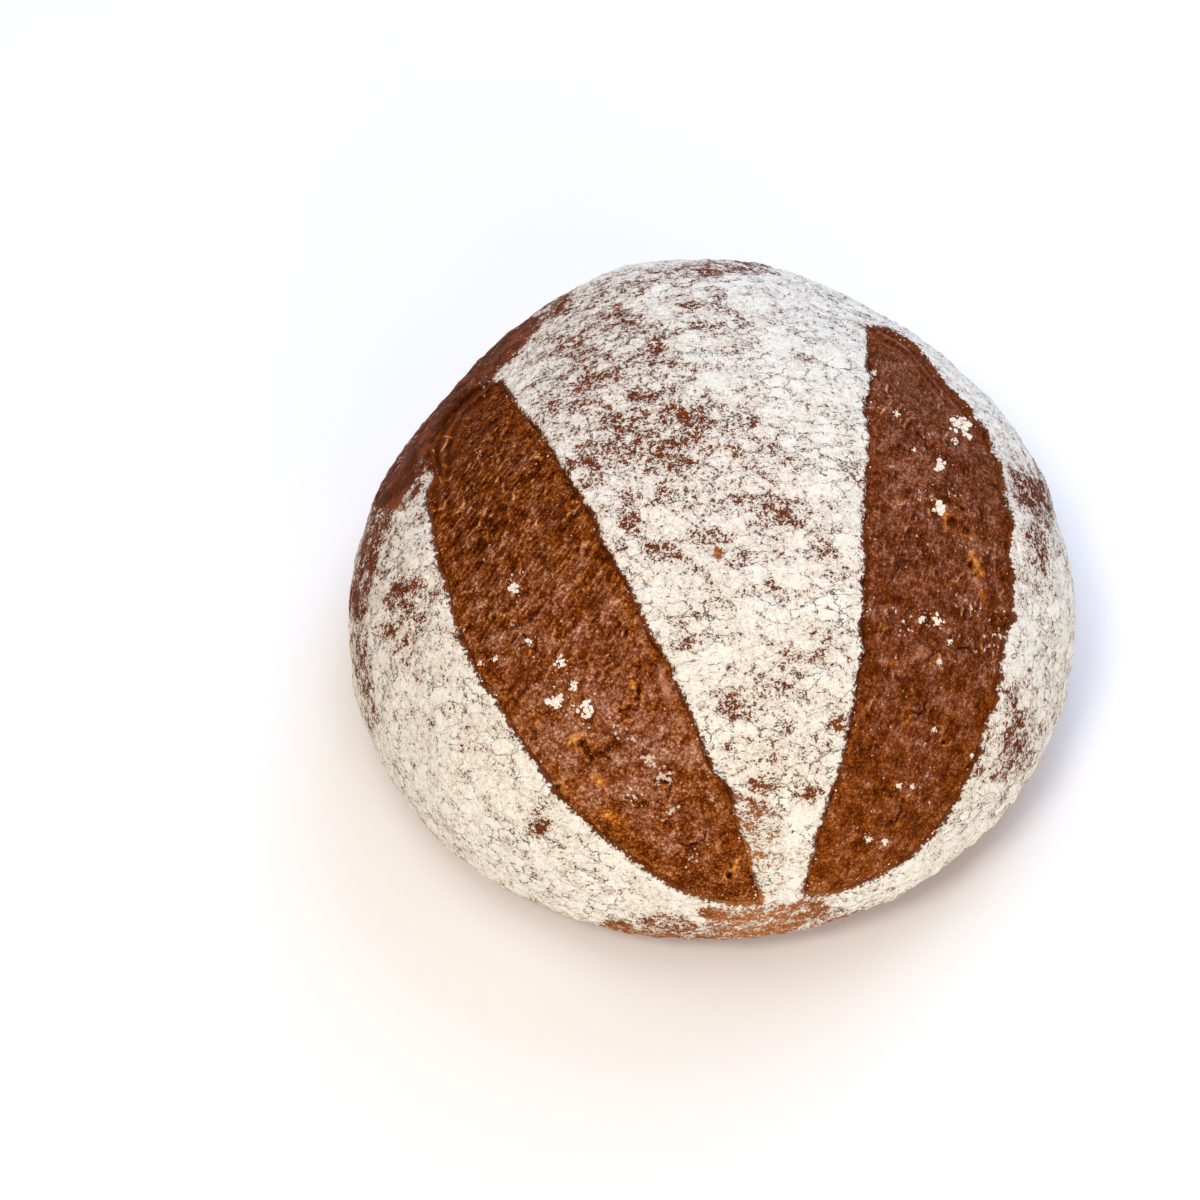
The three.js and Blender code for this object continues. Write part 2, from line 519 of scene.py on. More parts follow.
def tear_crumb(side):
    tear = tears[side]
    on_plane = plane_places(tear)
    from_edge = inside_distance(on_plane, side)
    inside = smooth_step(SMOOTH_WIDTH, INNER_WIDTH, from_edge)
    inner = weigh(tear, "inner", inside)
    apply_modifier(tear, "SMOOTH", iterations=FLOOR_SMOOTHING, vertex_group=inner)
    flat = vertex_places(tear)
    full = smooth_step(STRANDS_FROM[side], STRANDS_FULL[side], on_plane[:, 1])
    stringy = weigh(tear, "stringy", inside * (FEWEST_STRANDS + (1 - FEWEST_STRANDS) * full))
    pull_strands(tear, side, stringy)
    crest = (vertex_places(tear) - flat) @ PLANE_NORMAL / MM
    lumpy = weigh(tear, "lumpy", inside * (1 - LUMPS_SMOOTHED * full))
    for name, (size, height) in CRUMB_LUMPS.items():
        pucker(tear, f"{side}_{name}", size, height * LUMPINESS[side], lumpy)
    bump = (vertex_places(tear) - flat) @ PLANE_NORMAL / MM
    set_attribute(tear, "edge_mm", from_edge)
    set_attribute(tear, "crest_mm", crest - np.median(crest))
    set_attribute(tear, "bump_mm", bump - np.median(bump))
    for name, height in {"strands": crest, "all relief": bump}.items():
        low, high = np.percentile(height, (5, 95))
        print(f"{side} tear, {name}: {low:.2f} to {high:.2f} mm")


for side in tears:
    tear_crumb(side)

# %% [markdown]
# ## Folds and borders
#
# The crust rolled back in steps at the far end of each slash, and left two or three folds along its
# outer edge. They follow that edge, so they are a ripple in the distance from it. At the border the
# crumb rises almost to the lip and then dips under it, so that no gap shows.

# %% Fold the far ends and tuck in the borders
FOLD_SPACING = 3.4  # millimetres from fold to fold
FOLD_START = 0.15  # of that, from the edge to the first crest
FOLD_HEIGHT = 1.0 * MM
FOLD_WHOLE = 5  # millimetres in from the edge, up to where the folds are at their highest
FOLD_REACH = 10  # and to where they end
FOLDS_FROM = {"left": 30, "right": 40}  # places along the slashes, in millimetres
FOLDS_FULL = {"left": 52, "right": 62}
OUTER_EDGE = {"left": 0, "right": 1}  # which of a slash's two edges faces the rim of the loaf
CURVE_FINENESS = 12  # points for each of an edge's own
BORDER_RISE = 1.7 * MM
BORDER_WIDTH = 12  # millimetres in from the edge
TUCK_DEPTH = 2.4 * MM
TUCK_WHOLE = 0.1  # millimetres in from the edge, up to where the tuck is deepest
TUCK_WIDTH = 0.8  # and to where it ends
BORDER_REACH = 0.6 * MM  # how far the border goes in under the lip


def curve_distance(on_plane, curve):
    """The distance in millimetres from each point to the nearest one of a curve's points, drawn finely."""
    fine = np.linspace(0, len(curve) - 1, CURVE_FINENESS * len(curve))
    stations = np.arange(len(curve))
    nearest = np.full(len(on_plane), np.inf)
    for u, v in zip(np.interp(fine, stations, curve[:, 0]), np.interp(fine, stations, curve[:, 1])):
        nearest = np.minimum(nearest, np.hypot(on_plane[:, 0] - u, on_plane[:, 1] - v))
    return nearest


def finish_border(side):
    tear = tears[side]
    left, right = edges[side]
    on_plane = plane_places(tear)
    across, along, _ = on_plane.T
    from_edge = inside_distance(on_plane, side)
    from_outer = curve_distance(on_plane, edges[side][OUTER_EDGE[side]])
    tuck = 1 - smooth_step(TUCK_WHOLE, TUCK_WIDTH, from_edge)
    far = smooth_step(FOLDS_FROM[side], FOLDS_FULL[side], along)
    rolled = far * (1 - smooth_step(FOLD_WHOLE, FOLD_REACH, from_outer))
    fold = rolled * np.cos(math.tau * (from_outer / FOLD_SPACING - FOLD_START))
    rise = BORDER_RISE * (1 - smooth_step(0, BORDER_WIDTH, from_edge))
    lift = rise + FOLD_HEIGHT * fold * (1 - tuck) - TUCK_DEPTH * tuck
    places = vertex_places(tear) + np.outer(lift, PLANE_NORMAL)
    middle = (np.interp(along, left[:, 1], left[:, 0]) + np.interp(along, right[:, 1], right[:, 0])) / 2
    places[:, 0] += BORDER_REACH * tuck * np.sign(across - middle)
    move_vertices(tear, places)
    set_attribute(tear, "fold", fold)
    set_attribute(tear, "rolled", rolled)


for side in tears:
    finish_border(side)
    print(f"{side} tear, mm:", [round(length / MM, 1) for length in tears[side].dimensions])

# %% [markdown]
# ## Curls
#
# Thin skins of crumb tore loose and curled up: each is a short bent crest with a hollow beside it. They
# are too many to place one by one in a viewport, so seeded random numbers spread them.

# %% Curled skins
CURLS = {"left": 240, "right": 110}
CURLS_SPAN = {"left": (-12, 58), "right": (-25, 64)}  # places along the slashes, in millimetres
CURL_LENGTH = (1.8, 5.0)  # millimetres, as are the next five
CURL_WIDTH = 0.36
CURL_HEIGHT = 0.2
CURL_MARGIN = 2.5
HOLLOW_PLACE = 2.5 * CURL_WIDTH  # from a curl's crest to the middle of its hollow
HOLLOW_WIDTH = 2 * CURL_WIDTH
HOLLOW_DEPTH = 0.5  # as a share of the crest's height
# painted shade in the hollows beside the curls
HOLLOW_SHADE = 0.25  # how dark the hollows are painted
CURL_BEND = 0.16  # the spread of the bends, for each millimetre
CURL_TURN = 0.5  # the spread of the directions, in radians
CURL_SIZE = (0.4, 1)  # shares of the full height
CURL_SEED = 5

curl_draw = random.Random(CURL_SEED)


def curl_skins(side, on_plane, from_edge):
    """The crests of the curled skins and the hollows beside them, from 0 to 1 at each vertex."""
    crest = np.zeros(len(on_plane))
    hollow = np.zeros(len(on_plane))
    first, last = CURLS_SPAN[side]
    for _ in range(CURLS[side]):
        middle = curl_draw.randrange(len(on_plane))
        angle = curl_draw.gauss(STRAND_ANGLE[side], CURL_TURN)
        half_length = curl_draw.uniform(*CURL_LENGTH) / 2
        bend = curl_draw.gauss(0, CURL_BEND)
        size = curl_draw.uniform(*CURL_SIZE)
        if from_edge[middle] < CURL_MARGIN or not first < on_plane[middle, 1] < last:
            continue
        away = on_plane[:, :2] - on_plane[middle, :2]
        run = away[:, 0] * math.cos(angle) + away[:, 1] * math.sin(angle)
        off = away[:, 1] * math.cos(angle) - away[:, 0] * math.sin(angle) - bend * run**2
        share = size * np.sqrt(np.clip(1 - (run / half_length) ** 2, 0, 1))
        crest = np.maximum(crest, share * np.exp(-((off / CURL_WIDTH) ** 2)))
        hollow = np.maximum(hollow, share * np.exp(-(((off + HOLLOW_PLACE) / HOLLOW_WIDTH) ** 2)))
    return crest, hollow


curls = {}
for side, tear in tears.items():
    on_plane = plane_places(tear)
    curls[side] = curl_skins(side, on_plane, inside_distance(on_plane, side))
    print(f"{side} tear: curls up to {CURL_HEIGHT * curls[side][0].max():.2f} mm high")

# %% [markdown]
# ## Blisters
#
# A few gas cells rose without bursting, as low domes that are cracked along one side. They are large
# enough to be told apart, so each has its own place. They and the curls are lifted along the normal of
# the tipped plane, and both are kept as attributes for painted light and shade in the colours: lighter
# crests, and darker hollows and cracks.

# %% Raise curls and blisters
BLISTERS = {  # place on the tipped plane and radius in millimetres, then the crack's direction in degrees
    "left": [
        (-27.2, -15.3, 4.2, -45),
        (-52, -2, 3.2, 30),
        (-34, -34, 3.6, 100),
        (-20, -40, 3.2, 10),
        (-12, -52, 3.4, -70),
        (-47, 9, 2.8, -30),
    ],
    "right": [
        (50.6, -9.2, 2.8, -60),
        (62, -12, 3.2, 60),
        (48, -22, 3.0, -60),
        (56, 46, 2.8, 20),
        (40, -50, 3.2, -30),
    ],
}
BLISTER_HEIGHT = 0.9  # millimetres
BLISTER_TOP = 0.2  # the share of the radius that is flat on top
CRACK_ARC = math.radians(75)  # how far a crack goes to each side of its middle
CRACK_WHOLE = 0.6  # the share of that over which it is deepest
CRACK_HALF_WIDTH = 0.30  # millimetres, as are the next two
CRACK_DEPTH = 0.65
CRACK_WOBBLE = 0.35
CRACK_WAVES = 5


def raise_blisters(side, on_plane):
    """The domes of the blisters and the cracks beside them, from 0 to 1 at each vertex."""
    dome = np.zeros(len(on_plane))
    crack = np.zeros(len(on_plane))
    for u, v, radius, facing in BLISTERS[side]:
        away = on_plane[:, :2] - (u, v)
        distance = np.hypot(*away.T)
        turn = np.arctan2(away[:, 1], away[:, 0]) - math.radians(facing)
        turn = np.abs((turn + math.pi) % math.tau - math.pi)
        ragged = distance + CRACK_WOBBLE * np.sin(CRACK_WAVES * turn + u)
        dome = np.maximum(dome, 1 - smooth_step(BLISTER_TOP, 1, distance / radius))
        open_side = 1 - smooth_step(CRACK_WHOLE * CRACK_ARC, CRACK_ARC, turn)
        crack = np.maximum(crack, open_side * np.exp(-(((ragged - radius) / CRACK_HALF_WIDTH) ** 2)))
    return dome, crack


for side, tear in tears.items():
    crest, hollow = curls[side]
    dome, crack = raise_blisters(side, plane_places(tear))
    lift = CURL_HEIGHT * (crest - HOLLOW_DEPTH * hollow) + BLISTER_HEIGHT * dome - CRACK_DEPTH * crack
    move_vertices(tear, vertex_places(tear) + np.outer(lift * MM, PLANE_NORMAL))
    # The curl attribute is painted light on the crests and painted shade in the hollows; the crack one is
    # painted shade in the cracks.
    set_attribute(tear, "curl", crest - HOLLOW_SHADE * hollow)
    set_attribute(tear, "crack", crack)
    print(f"{side} tear: lifted from {lift.min():.1f} to {lift.max():.1f} mm")

# %% [markdown]
# ## Pits
#
# Gas cells that burst leave round pits in the torn crumb. A pit could be cut with a Boolean, but the
# real ones have soft rims: one vertex is pulled inwards with proportional editing, and its
# neighbours follow it.

# %% Pull in the pits
PITS = {  # place on the tipped plane, radius and depth, in millimetres
    "left": [
        (-38.7, -27.2, 1.7, 1.2),
        (-37.6, -28.9, 1.2, 1.2),
        (-36.6, -31.2, 0.9, 1.0),
        (-41.0, -27.6, 0.8, 0.6),
        (-50.5, -20.4, 1.1, 0.9),
        (-23.2, -14.7, 0.9, 1.0),
        (-23.9, -16.6, 1.0, 1.0),
        (-26.0, -18.4, 0.8, 0.7),
        (-28.2, -19.4, 0.8, 0.7),
        (-44.9, -38.4, 1.1, 0.9),
        (-43.0, -37.4, 0.8, 0.7),
        (-2.4, -64.3, 1.1, 0.9),
    ],
    "right": [
        (62.6, 24.0, 1.9, 1.3),
        (66.4, 21.6, 1.4, 1.0),
        (66.3, 27.7, 0.9, 0.8),
        (66.6, 12.4, 0.9, 0.9),
        (67.4, 9.6, 0.9, 0.9),
        (45.4, -24.6, 1.0, 0.9),
        (45.0, -26.2, 0.7, 0.8),
        (55.4, -33.4, 0.9, 0.8),
        (43.7, -47.7, 0.9, 0.8),
    ],
}
RIM_WIDTH = 0.6  # millimetres
PIT_SHADE = (0.25, 1.1)  # the shares of a pit's radius between which its shade fades


def pull_pits(side):
    tear = tears[side]
    on_plane = plane_places(tear)
    shade = np.zeros(len(on_plane))
    rim = np.zeros(len(on_plane))
    for u, v, radius, depth in PITS[side]:
        away = np.hypot(on_plane[:, 0] - u, on_plane[:, 1] - v)
        shade = np.maximum(shade, 1 - smooth_step(*PIT_SHADE, away / radius))
        rim = np.maximum(rim, np.exp(-(((away - radius) / RIM_WIDTH) ** 2)))
        edit_with(tear, "VERT", [int(away.argmin())])
        bpy.ops.transform.translate(
            value=Vector(-PLANE_NORMAL) * depth * MM,
            use_proportional_edit=True,
            proportional_edit_falloff="SPHERE",
            proportional_size=radius * MM,
        )
        bpy.ops.object.mode_set(mode="OBJECT")
    # The pit attribute is painted shade: the crumb is painted darker in each pit, as the shade in it.
    set_attribute(tear, "pit", shade)
    set_attribute(tear, "rim", rim * (1 - shade))


for side in tears:
    pull_pits(side)
    print(f"{side} tear:", len(PITS[side]), "pits")

# %% [markdown]
# ## Closing the sheets
#
# A sheet of crumb has no thickness, and a model that is kept has to be closed. The border is
# extruded into the loaf and filled with one face, which the crust hides.

# %% Close each tear below
TEAR_THICKNESS = 2 * MM

for side, tear in tears.items():
    make_active(tear)
    bpy.ops.object.mode_set(mode="EDIT")
    bpy.ops.mesh.select_mode(type="EDGE")
    bpy.ops.mesh.select_all(action="DESELECT")
    bpy.ops.mesh.select_non_manifold()
    bpy.ops.mesh.extrude_region_move(
        TRANSFORM_OT_translate={"value": Vector(-PLANE_NORMAL) * TEAR_THICKNESS}
    )
    bpy.ops.mesh.edge_face_add()
    bpy.ops.mesh.select_all(action="SELECT")
    bpy.ops.mesh.normals_make_consistent(inside=False)
    bpy.ops.object.mode_set(mode="OBJECT")
    bpy.ops.object.shade_smooth()
    print(f"{side} tear closed:", len(tear.data.polygons), "faces")

make_active(crust)
bpy.ops.object.shade_smooth()

# %% [markdown]
# ## Bulging lips
#
# The crust did not open evenly either: its lips bulge in and out by a millimetre every centimetre or
# so. The crust and the crumb below it move together here, so that no gap opens between them.

# %% Let the lips bulge
BULGE_SPACING = 8  # millimetres between random amounts
BULGE_WIDTH = 0.55 * MM
BULGE_REACH = 5  # millimetres from the edge
BULGE_CALM = 12  # millimetres from each end of a slash over which the bulges start
BULGE_SEED = 4


def bulge(piece, curve, slides):
    """Slides the points near one edge of a slash to the left or right."""
    u, v, _ = plane_places(piece).T
    station = np.clip((v - curve[0, 1]) / BULGE_SPACING, 0, len(slides) - 1)
    whole = np.floor(station)
    eased = whole + smooth_step(0, 1, station - whole)
    away = u - np.interp(v, curve[:, 1], curve[:, 0])
    near = np.exp(-((away / BULGE_REACH) ** 2)) * between_ends(v, curve[0, 1], curve[-1, 1], BULGE_CALM)
    if piece is crust:
        near *= plane_facing(crust) > 0
    places = vertex_places(piece)
    places[:, 0] += near * np.interp(eased, np.arange(len(slides)), slides)
    move_vertices(piece, places)


bulges = np.random.default_rng(BULGE_SEED)
for side, pair in edges.items():
    for curve in pair:
        slides = bulges.normal(0, BULGE_WIDTH, int(np.ptp(curve[:, 1]) / BULGE_SPACING) + 2)
        for piece in (crust, tears[side]):
            bulge(piece, curve, slides)
    print(f"{side} slash: lips bulge by up to {np.abs(slides).max() / MM:.1f} mm")

# %% [markdown]
# ## How thickly the flour lies
#
# The flour came from a dusted basket. It cakes white on the crown, is rubbed off in patches, and is
# thin low on the flanks. A painter would brush this on as vertex weights. Here each patch is a soft
# spot on the tipped plane, with a radius and how bare it is, and one number per vertex adds them up.

# %% Bare patches in the flour
BARE_SPOTS = [  # place on the tipped plane, radius, bareness
    (-28, 70, 30, 0.15),
    (-14, 46, 22, 0.12),
    (8, 32, 22, 0.14),
    (32, 72, 20, -0.1),
    (0, 2, 18, 0.02),
    (8, -32, 16, 0.08),
    (-90, 26, 20, 0.16),
    (90, -34, 20, 0.08),
    (-41, 60, 7, 0.13),
    (-33, 66, 6, 0.16),
    (-24, 54, 6, 0.16),
    (-33, 46, 5, 0.13),
    (-12, 47, 5, 0.16),
    (-5, 57, 6, 0.16),
    (-22, 89, 7, 0.21),
    (-35, 81, 7, 0.16),
    (-12, 76, 7, 0.16),
    (2, 90, 8, 0.21),
    (10, 81, 6, 0.21),
    (23, 89, 4, 0.14),
    (12, 53, 3, 0.21),
    (6, 34, 3, 0.20),
    (17, 28, 4, 0.18),
    (26, 20, 4, 0.22),
    (37, 43, 4, 0.22),
    (-16, 21, 5, 0.20),
    (-23, 30, 4, 0.23),
    (-1, 19, 1.2, 0.50),
    (-2, 10, 4, 0.21),
    (-11, 0, 3, 0.23),
    (23, -6, 5, 0.23),
    (11, -12, 6, 0.22),
    (0, -19, 4, 0.26),
    (28, -27, 4, 0.26),
    (10, -34, 4, 0.18),
    (6, -42, 6, 0.20),
    (3, -50, 6, 0.20),
    (7, -60, 6, 0.22),
    (19, -44, 4, 0.29),
    (-96, 36, 7, 0.31),
    (-84, 14, 7, 0.26),
    (-86, 2, 6, 0.26),
    (-85, 46, 8, 0.39),
    (-51, -49, 4, 0.39),
    (-43, 96, 8, 0.30),
    (-37, 99, 6, 0.20),
    (91, 31, 10, 0.50),
    (88, 13, 8, 0.30),
    (76, -28, 6, 0.24),
    (79, -38, 7, 0.26),
    (70, -44, 6, 0.22),
]
BARE_STRIPS = [  # two ends on the tipped plane, half width, bareness
    (-50, 92, -66, 76, 7, 0.70),
    (-66, 76, -91, 43, 7, 0.70),
    (-91, 43, -101, 12, 5, 0.48),
    (-101, 12, -98, -20, 4, 0.26),
    (-35, 98, 25, 107, 5, 0.26),
    (-32, -80, 26, -82, 5, 0.36),
    (-8, -76.5, 22, -77, 3.5, 0.40),
]
STRIP_SHARPNESS = 4  # the higher, the more suddenly a strip ends


def near_spot(on_plane, u, v, radius):
    """From 1 in the middle of a soft spot to 0 well away from it."""
    return np.exp(-((on_plane[:, 0] - u) ** 2 + (on_plane[:, 1] - v) ** 2) / radius**2)


def near_line(on_plane, ends, half_width, sharpness=2):
    """From 1 on the line between two ends to 0 well away from it."""
    return np.exp(-((line_distance(on_plane, ends[:2], ends[2:]) / half_width) ** sharpness))


def bare_patches(on_plane):
    """How bare the spots and strips leave each point."""
    bare = np.zeros(len(on_plane))
    for u, v, radius, bareness in BARE_SPOTS:
        bare += bareness * near_spot(on_plane, u, v, radius)
    for *ends, half_width, bareness in BARE_STRIPS:
        bare = np.maximum(bare, bareness * near_line(on_plane, ends, half_width, STRIP_SHARPNESS))
    return bare


print("bare patches:", len(BARE_SPOTS), "spots and", len(BARE_STRIPS), "strips")

# %% [markdown]
# ## The coat of flour
#
# The patches are only on the slashes' side, because the tipped plane can't tell that side from the
# back. The back has a slightly thinner coat all over, and the flanks lose theirs towards the base.

# %% Flour on the crust
FULL_COAT = 0.86
LOW_BARENESS = 0.45
LOW_FROM = 4 * MM
LOW_TO = 17 * MM
BACK_BARENESS = 0.16
SEEN_FACING = (-0.05, 0.25)  # between these facings the back of the loaf becomes the slashes' side


def flour_coat(heights, on_plane, facing):
    """How thickly the flour lies at each point, from 0 to 1."""
    seen = smooth_step(*SEEN_FACING, facing)
    low = LOW_BARENESS * (1 - smooth_step(LOW_FROM, LOW_TO, heights))
    back = BACK_BARENESS * (1 - seen)
    return np.clip(FULL_COAT - bare_patches(on_plane) * seen - low - back, 0, 1)


crust_heights = vertex_places(crust)[:, 2]
coat = flour_coat(crust_heights, crust_on_plane, crust_facing)
set_attribute(crust, "flour", coat)
print(f"flour coat: {coat.min():.2f} to {coat.max():.2f}")

# %% [markdown]
# ## Paler crust
#
# Low on the loaf and where both slashes end the crust got less heat, so it is more orange than brown
# there. One small torn spot on the crown is as pale. One more number per vertex keeps this.

# %% Less baked places
PALE_TO = 32 * MM  # from here up the crust is fully baked
PALE_SPOTS = [  # place on the tipped plane and radius, in millimetres
    (6, -78, 18),
    (5, -58, 13),
    (-1, 19, 1.8),
]

pale = 1 - smooth_step(LOW_FROM, PALE_TO, crust_heights)
for u, v, radius in PALE_SPOTS:
    pale = np.maximum(pale, near_spot(crust_on_plane, u, v, radius))
set_attribute(crust, "pale", pale)
print(f"paleness: {pale.min():.2f} to {pale.max():.2f}, {pale.mean():.2f} on average")

# %% [markdown]
# ## Colours and nodes
#
# Colours are written as the hex values that a colour picker shows, and Blender works with linear
# light, so one function converts them. Patterns are written with their real size. One more function
# adds a shader node of any kind, with its settings and links, and gives the output that is needed.

# %% Helpers for materials


def linear(hex_colour):
    channels = [int(hex_colour[i : i + 2], 16) / 255 for i in (1, 3, 5)]
    return (*[c / 12.92 if c <= 0.04045 else ((c + 0.055) / 1.055) ** 2.4 for c in channels], 1)


def per_metre(size_mm):
    """The scale of a pattern whose features are this many millimetres across."""
    return 1 / (size_mm * MM)


def pattern(where, size_mm, **more):
    """The inputs of a texture whose features are this many millimetres across."""
    return {"Vector": where, "Scale": per_metre(size_mm), **more}


def add_node(material, kind, inputs=None, output=0, stops=(), **settings):
    """Adds a node, sets it, fills its sockets with values or links, and gives one of its outputs."""
    tree = material.node_tree
    node = tree.nodes.new("ShaderNode" + kind)
    for name, value in settings.items():
        setattr(node, name, value)
    for socket, value in (inputs or {}).items():
        if isinstance(value, bpy.types.NodeSocket):
            tree.links.new(value, node.inputs[socket])
        else:
            node.inputs[socket].default_value = value
    for i, (place, hex_colour) in enumerate(stops):
        points = node.color_ramp.elements
        point = points[i] if i < 2 else points.new(place)
        point.position = place
        point.color = linear(hex_colour)
    return node.outputs[output] if node.outputs else None


def new_material(name):
    material = bpy.data.materials.new(name)
    material.use_nodes = True
    material.node_tree.nodes.clear()
    return material


print("middle grey in linear light:", round(linear("#808080")[0], 3))

# %% [markdown]
# ## Floured crust
#
# Where flour cakes, it breaks into plates as the skin below stretches. Voronoi cells give plates, wider
# to the sides than up the loaf, and noise bends their borders. Each plate has its own random number.

# %% Floured crust: plates
PLATE_SIZE = (6.0, 3.8, 3.8)  # millimetres
PLATE_BEND = 0.45  # how far the borders wander, as a share of that
SWAY = {"Scale": 2.2, "Detail": 3.0, "Roughness": 0.65}  # bends to a plate, then how fine they get

floured = new_material("floured_crust")
where = add_node(floured, "TexCoord", output="Object")
plate_scale = [per_metre(size) for size in PLATE_SIZE]
plate_space = add_node(floured, "Mapping", {"Vector": where, "Scale": plate_scale})
sway = add_node(floured, "TexNoise", {"Vector": plate_space, **SWAY}, output="Color")
bent = {0: sway, 1: (2 * PLATE_BEND,) * 3, 2: plate_space}
swayed = add_node(floured, "VectorMath", bent, operation="MULTIPLY_ADD")
plates = add_node(floured, "TexVoronoi", {"Vector": swayed, "Scale": 1.0}, output="Color")
plate_number = add_node(floured, "SeparateColor", {"Color": plates}, output="Red")
print("plates:", len(floured.node_tree.nodes), "nodes")

# %% [markdown]
# ## Where the flour is
#
# Spelt flour on a baked crust lies in matt white flakes, and thins out to pinkish grains on the brown
# crust between them. It is the coat, more on some plates than on others, broken up by noise at four
# sizes and cut off sharply. The coarse sizes make patches. Real grains are too fine to show, so the
# finest size is coarser than they are.

# %% Floured crust: where the flour is
PLATE_STRENGTH = 0.24
FLOUR_BREAKS = {  # size in millimetres and strength
    "patch": (5.0, 0.65),
    "flake": (2.6, 0.60),
    "crumble": (1.2, 0.95),
    "grain": (0.5, 1.10),
}
FLOUR_SEEN = 0.50  # the thickness at which flour starts to show
FLOUR_WHOLE = 0.555  # and at which it hides the crust
ROUGH = {"Roughness": 0.6}  # how much of each noise is in its finer layers


def break_up(material, value, where, scale, strength):
    """Adds noise to a value, as much above it as below."""
    clouds = add_node(material, "TexNoise", {"Vector": where, "Scale": scale, **ROUGH})
    raised = add_node(material, "Math", {0: clouds, 1: 0.5}, operation="SUBTRACT")
    return add_node(material, "Math", {0: raised, 1: strength, 2: value}, operation="MULTIPLY_ADD")


painted = {
    name: add_node(floured, "Attribute", output="Fac", attribute_name=name)
    for name in ("flour", "slash_mm", "pale")
}
plate_lift = add_node(floured, "Math", {0: plate_number, 1: 0.5}, operation="SUBTRACT")
lifted = {0: plate_lift, 1: PLATE_STRENGTH, 2: painted["flour"]}
flakes = add_node(floured, "Math", lifted, operation="MULTIPLY_ADD")
for size, strength in FLOUR_BREAKS.values():
    flakes = break_up(floured, flakes, where, per_metre(size), strength)
covering = {"Value": flakes, "From Min": FLOUR_SEEN, "From Max": FLOUR_WHOLE}
cover = add_node(floured, "MapRange", covering)
print("flour cover:", len(floured.node_tree.nodes), "nodes")

# %% [markdown]
# ## Cracks in the flour
#
# The borders of the plates crack open. The cracks are narrow, they close again every few millimetres,
# and whole stretches have none.

# %% Floured crust: cracks
CRACK_WIDTH = 0.030  # as a share of a plate
CRACK_BREAK = 1.6  # millimetres between the places where a crack closes
CRACK_STRETCH = 9  # millimetres between the stretches with cracks
CRACK_OPENS = 0.92  # the sum of both noises at which a crack opens
CRACK_WIDEST = 1.12  # and at which it is as wide as it gets

borders = add_node(floured, "TexVoronoi", {"Vector": swayed, "Scale": 1.0}, feature="DISTANCE_TO_EDGE")
crack_break = add_node(floured, "TexNoise", pattern(where, CRACK_BREAK, **ROUGH))
crack_stretch = add_node(floured, "TexNoise", pattern(where, CRACK_STRETCH, Detail=1.0, **ROUGH))
openness = add_node(floured, "Math", {0: crack_break, 1: crack_stretch}, operation="ADD")
opening = {"Value": openness, "From Min": CRACK_OPENS, "From Max": CRACK_WIDEST, "To Max": CRACK_WIDTH}
open_width = add_node(floured, "MapRange", opening)
inside_crack = add_node(floured, "Math", {0: open_width, 1: borders}, operation="SUBTRACT")
sharpened = {0: inside_crack, 1: 2 / CRACK_WIDTH}
cracked = add_node(floured, "Math", sharpened, operation="MULTIPLY", use_clamp=True)
crack_depth = add_node(floured, "Math", {0: cracked, 1: cover}, operation="MULTIPLY")
print("with its cracks:", len(floured.node_tree.nodes), "nodes")

# %% [markdown]
# ## The edge of the flour
#
# The slashes were cut after the dusting, so the flour ends at their lips. It crumbles there: a noise
# moves the end of the flour back and forth by a millimetre.

# %% Floured crust: the edge of the flour at a slash
FRINGE = 0.15  # millimetres over which the flour ends
FRINGE_WANDER = 5.0  # millimetres, times a noise that stays near its middle
FRINGE_SIZE = 1.0
FRINGE_INSIDE = -0.5  # millimetres that the flour goes over the lip

fringe_end = FRINGE_WANDER / 2 + FRINGE_INSIDE
wander = add_node(floured, "TexNoise", pattern(where, FRINGE_SIZE, Detail=4.0, **ROUGH))
wandered = {0: wander, 1: FRINGE_WANDER, 2: painted["slash_mm"]}
wandering = add_node(floured, "Math", wandered, operation="MULTIPLY_ADD")
fringe = {"From Min": fringe_end - FRINGE, "From Max": fringe_end + FRINGE, "To Min": 1.0, "To Max": 0.0}
outside = add_node(floured, "MapRange", {"Value": wandering, **fringe})
cover = add_node(floured, "Math", {0: cover, 1: outside}, operation="MULTIPLY")
print("with its fringe:", len(floured.node_tree.nodes), "nodes")

# %% [markdown]
# ## Colour of the crust
#
# Bare crust is a warm brown: dark where no flour ever lay, redder in the patches, and orange near the
# base. The bare walls of the lips are painted darker, as painted shade. Flour is pinkish where it is
# thin and a warm white where it is thick, and the cracks are painted grey, as painted shade. Each
# colour lies over the ones before it, like paint.

# %% Floured crust: colour
RUST_SIZE = 6  # millimetres, as redder places on the bare crust
RUST_STARTS = 0.52
RUST_WHOLE = 0.64
RUST_MOST = 0.6
# Painted shade: the bare walls of the lips are painted darker by this much.
LIP_SHADE = 0.42  # how much darker the bare walls of the lips are
CRUST_STOPS = [(0.05, "#461E06"), (0.30, "#642C10"), (0.48, "#703B21")]
PALE_STOPS = [(0.10, "#7E4116"), (0.32, "#A35C27"), (0.48, "#BA7842")]
FLOUR_STOPS = [(0.50, "#C4A28E"), (0.60, "#DCCBBA"), (0.76, "#EDE0CE"), (0.97, "#FDF6E7")]

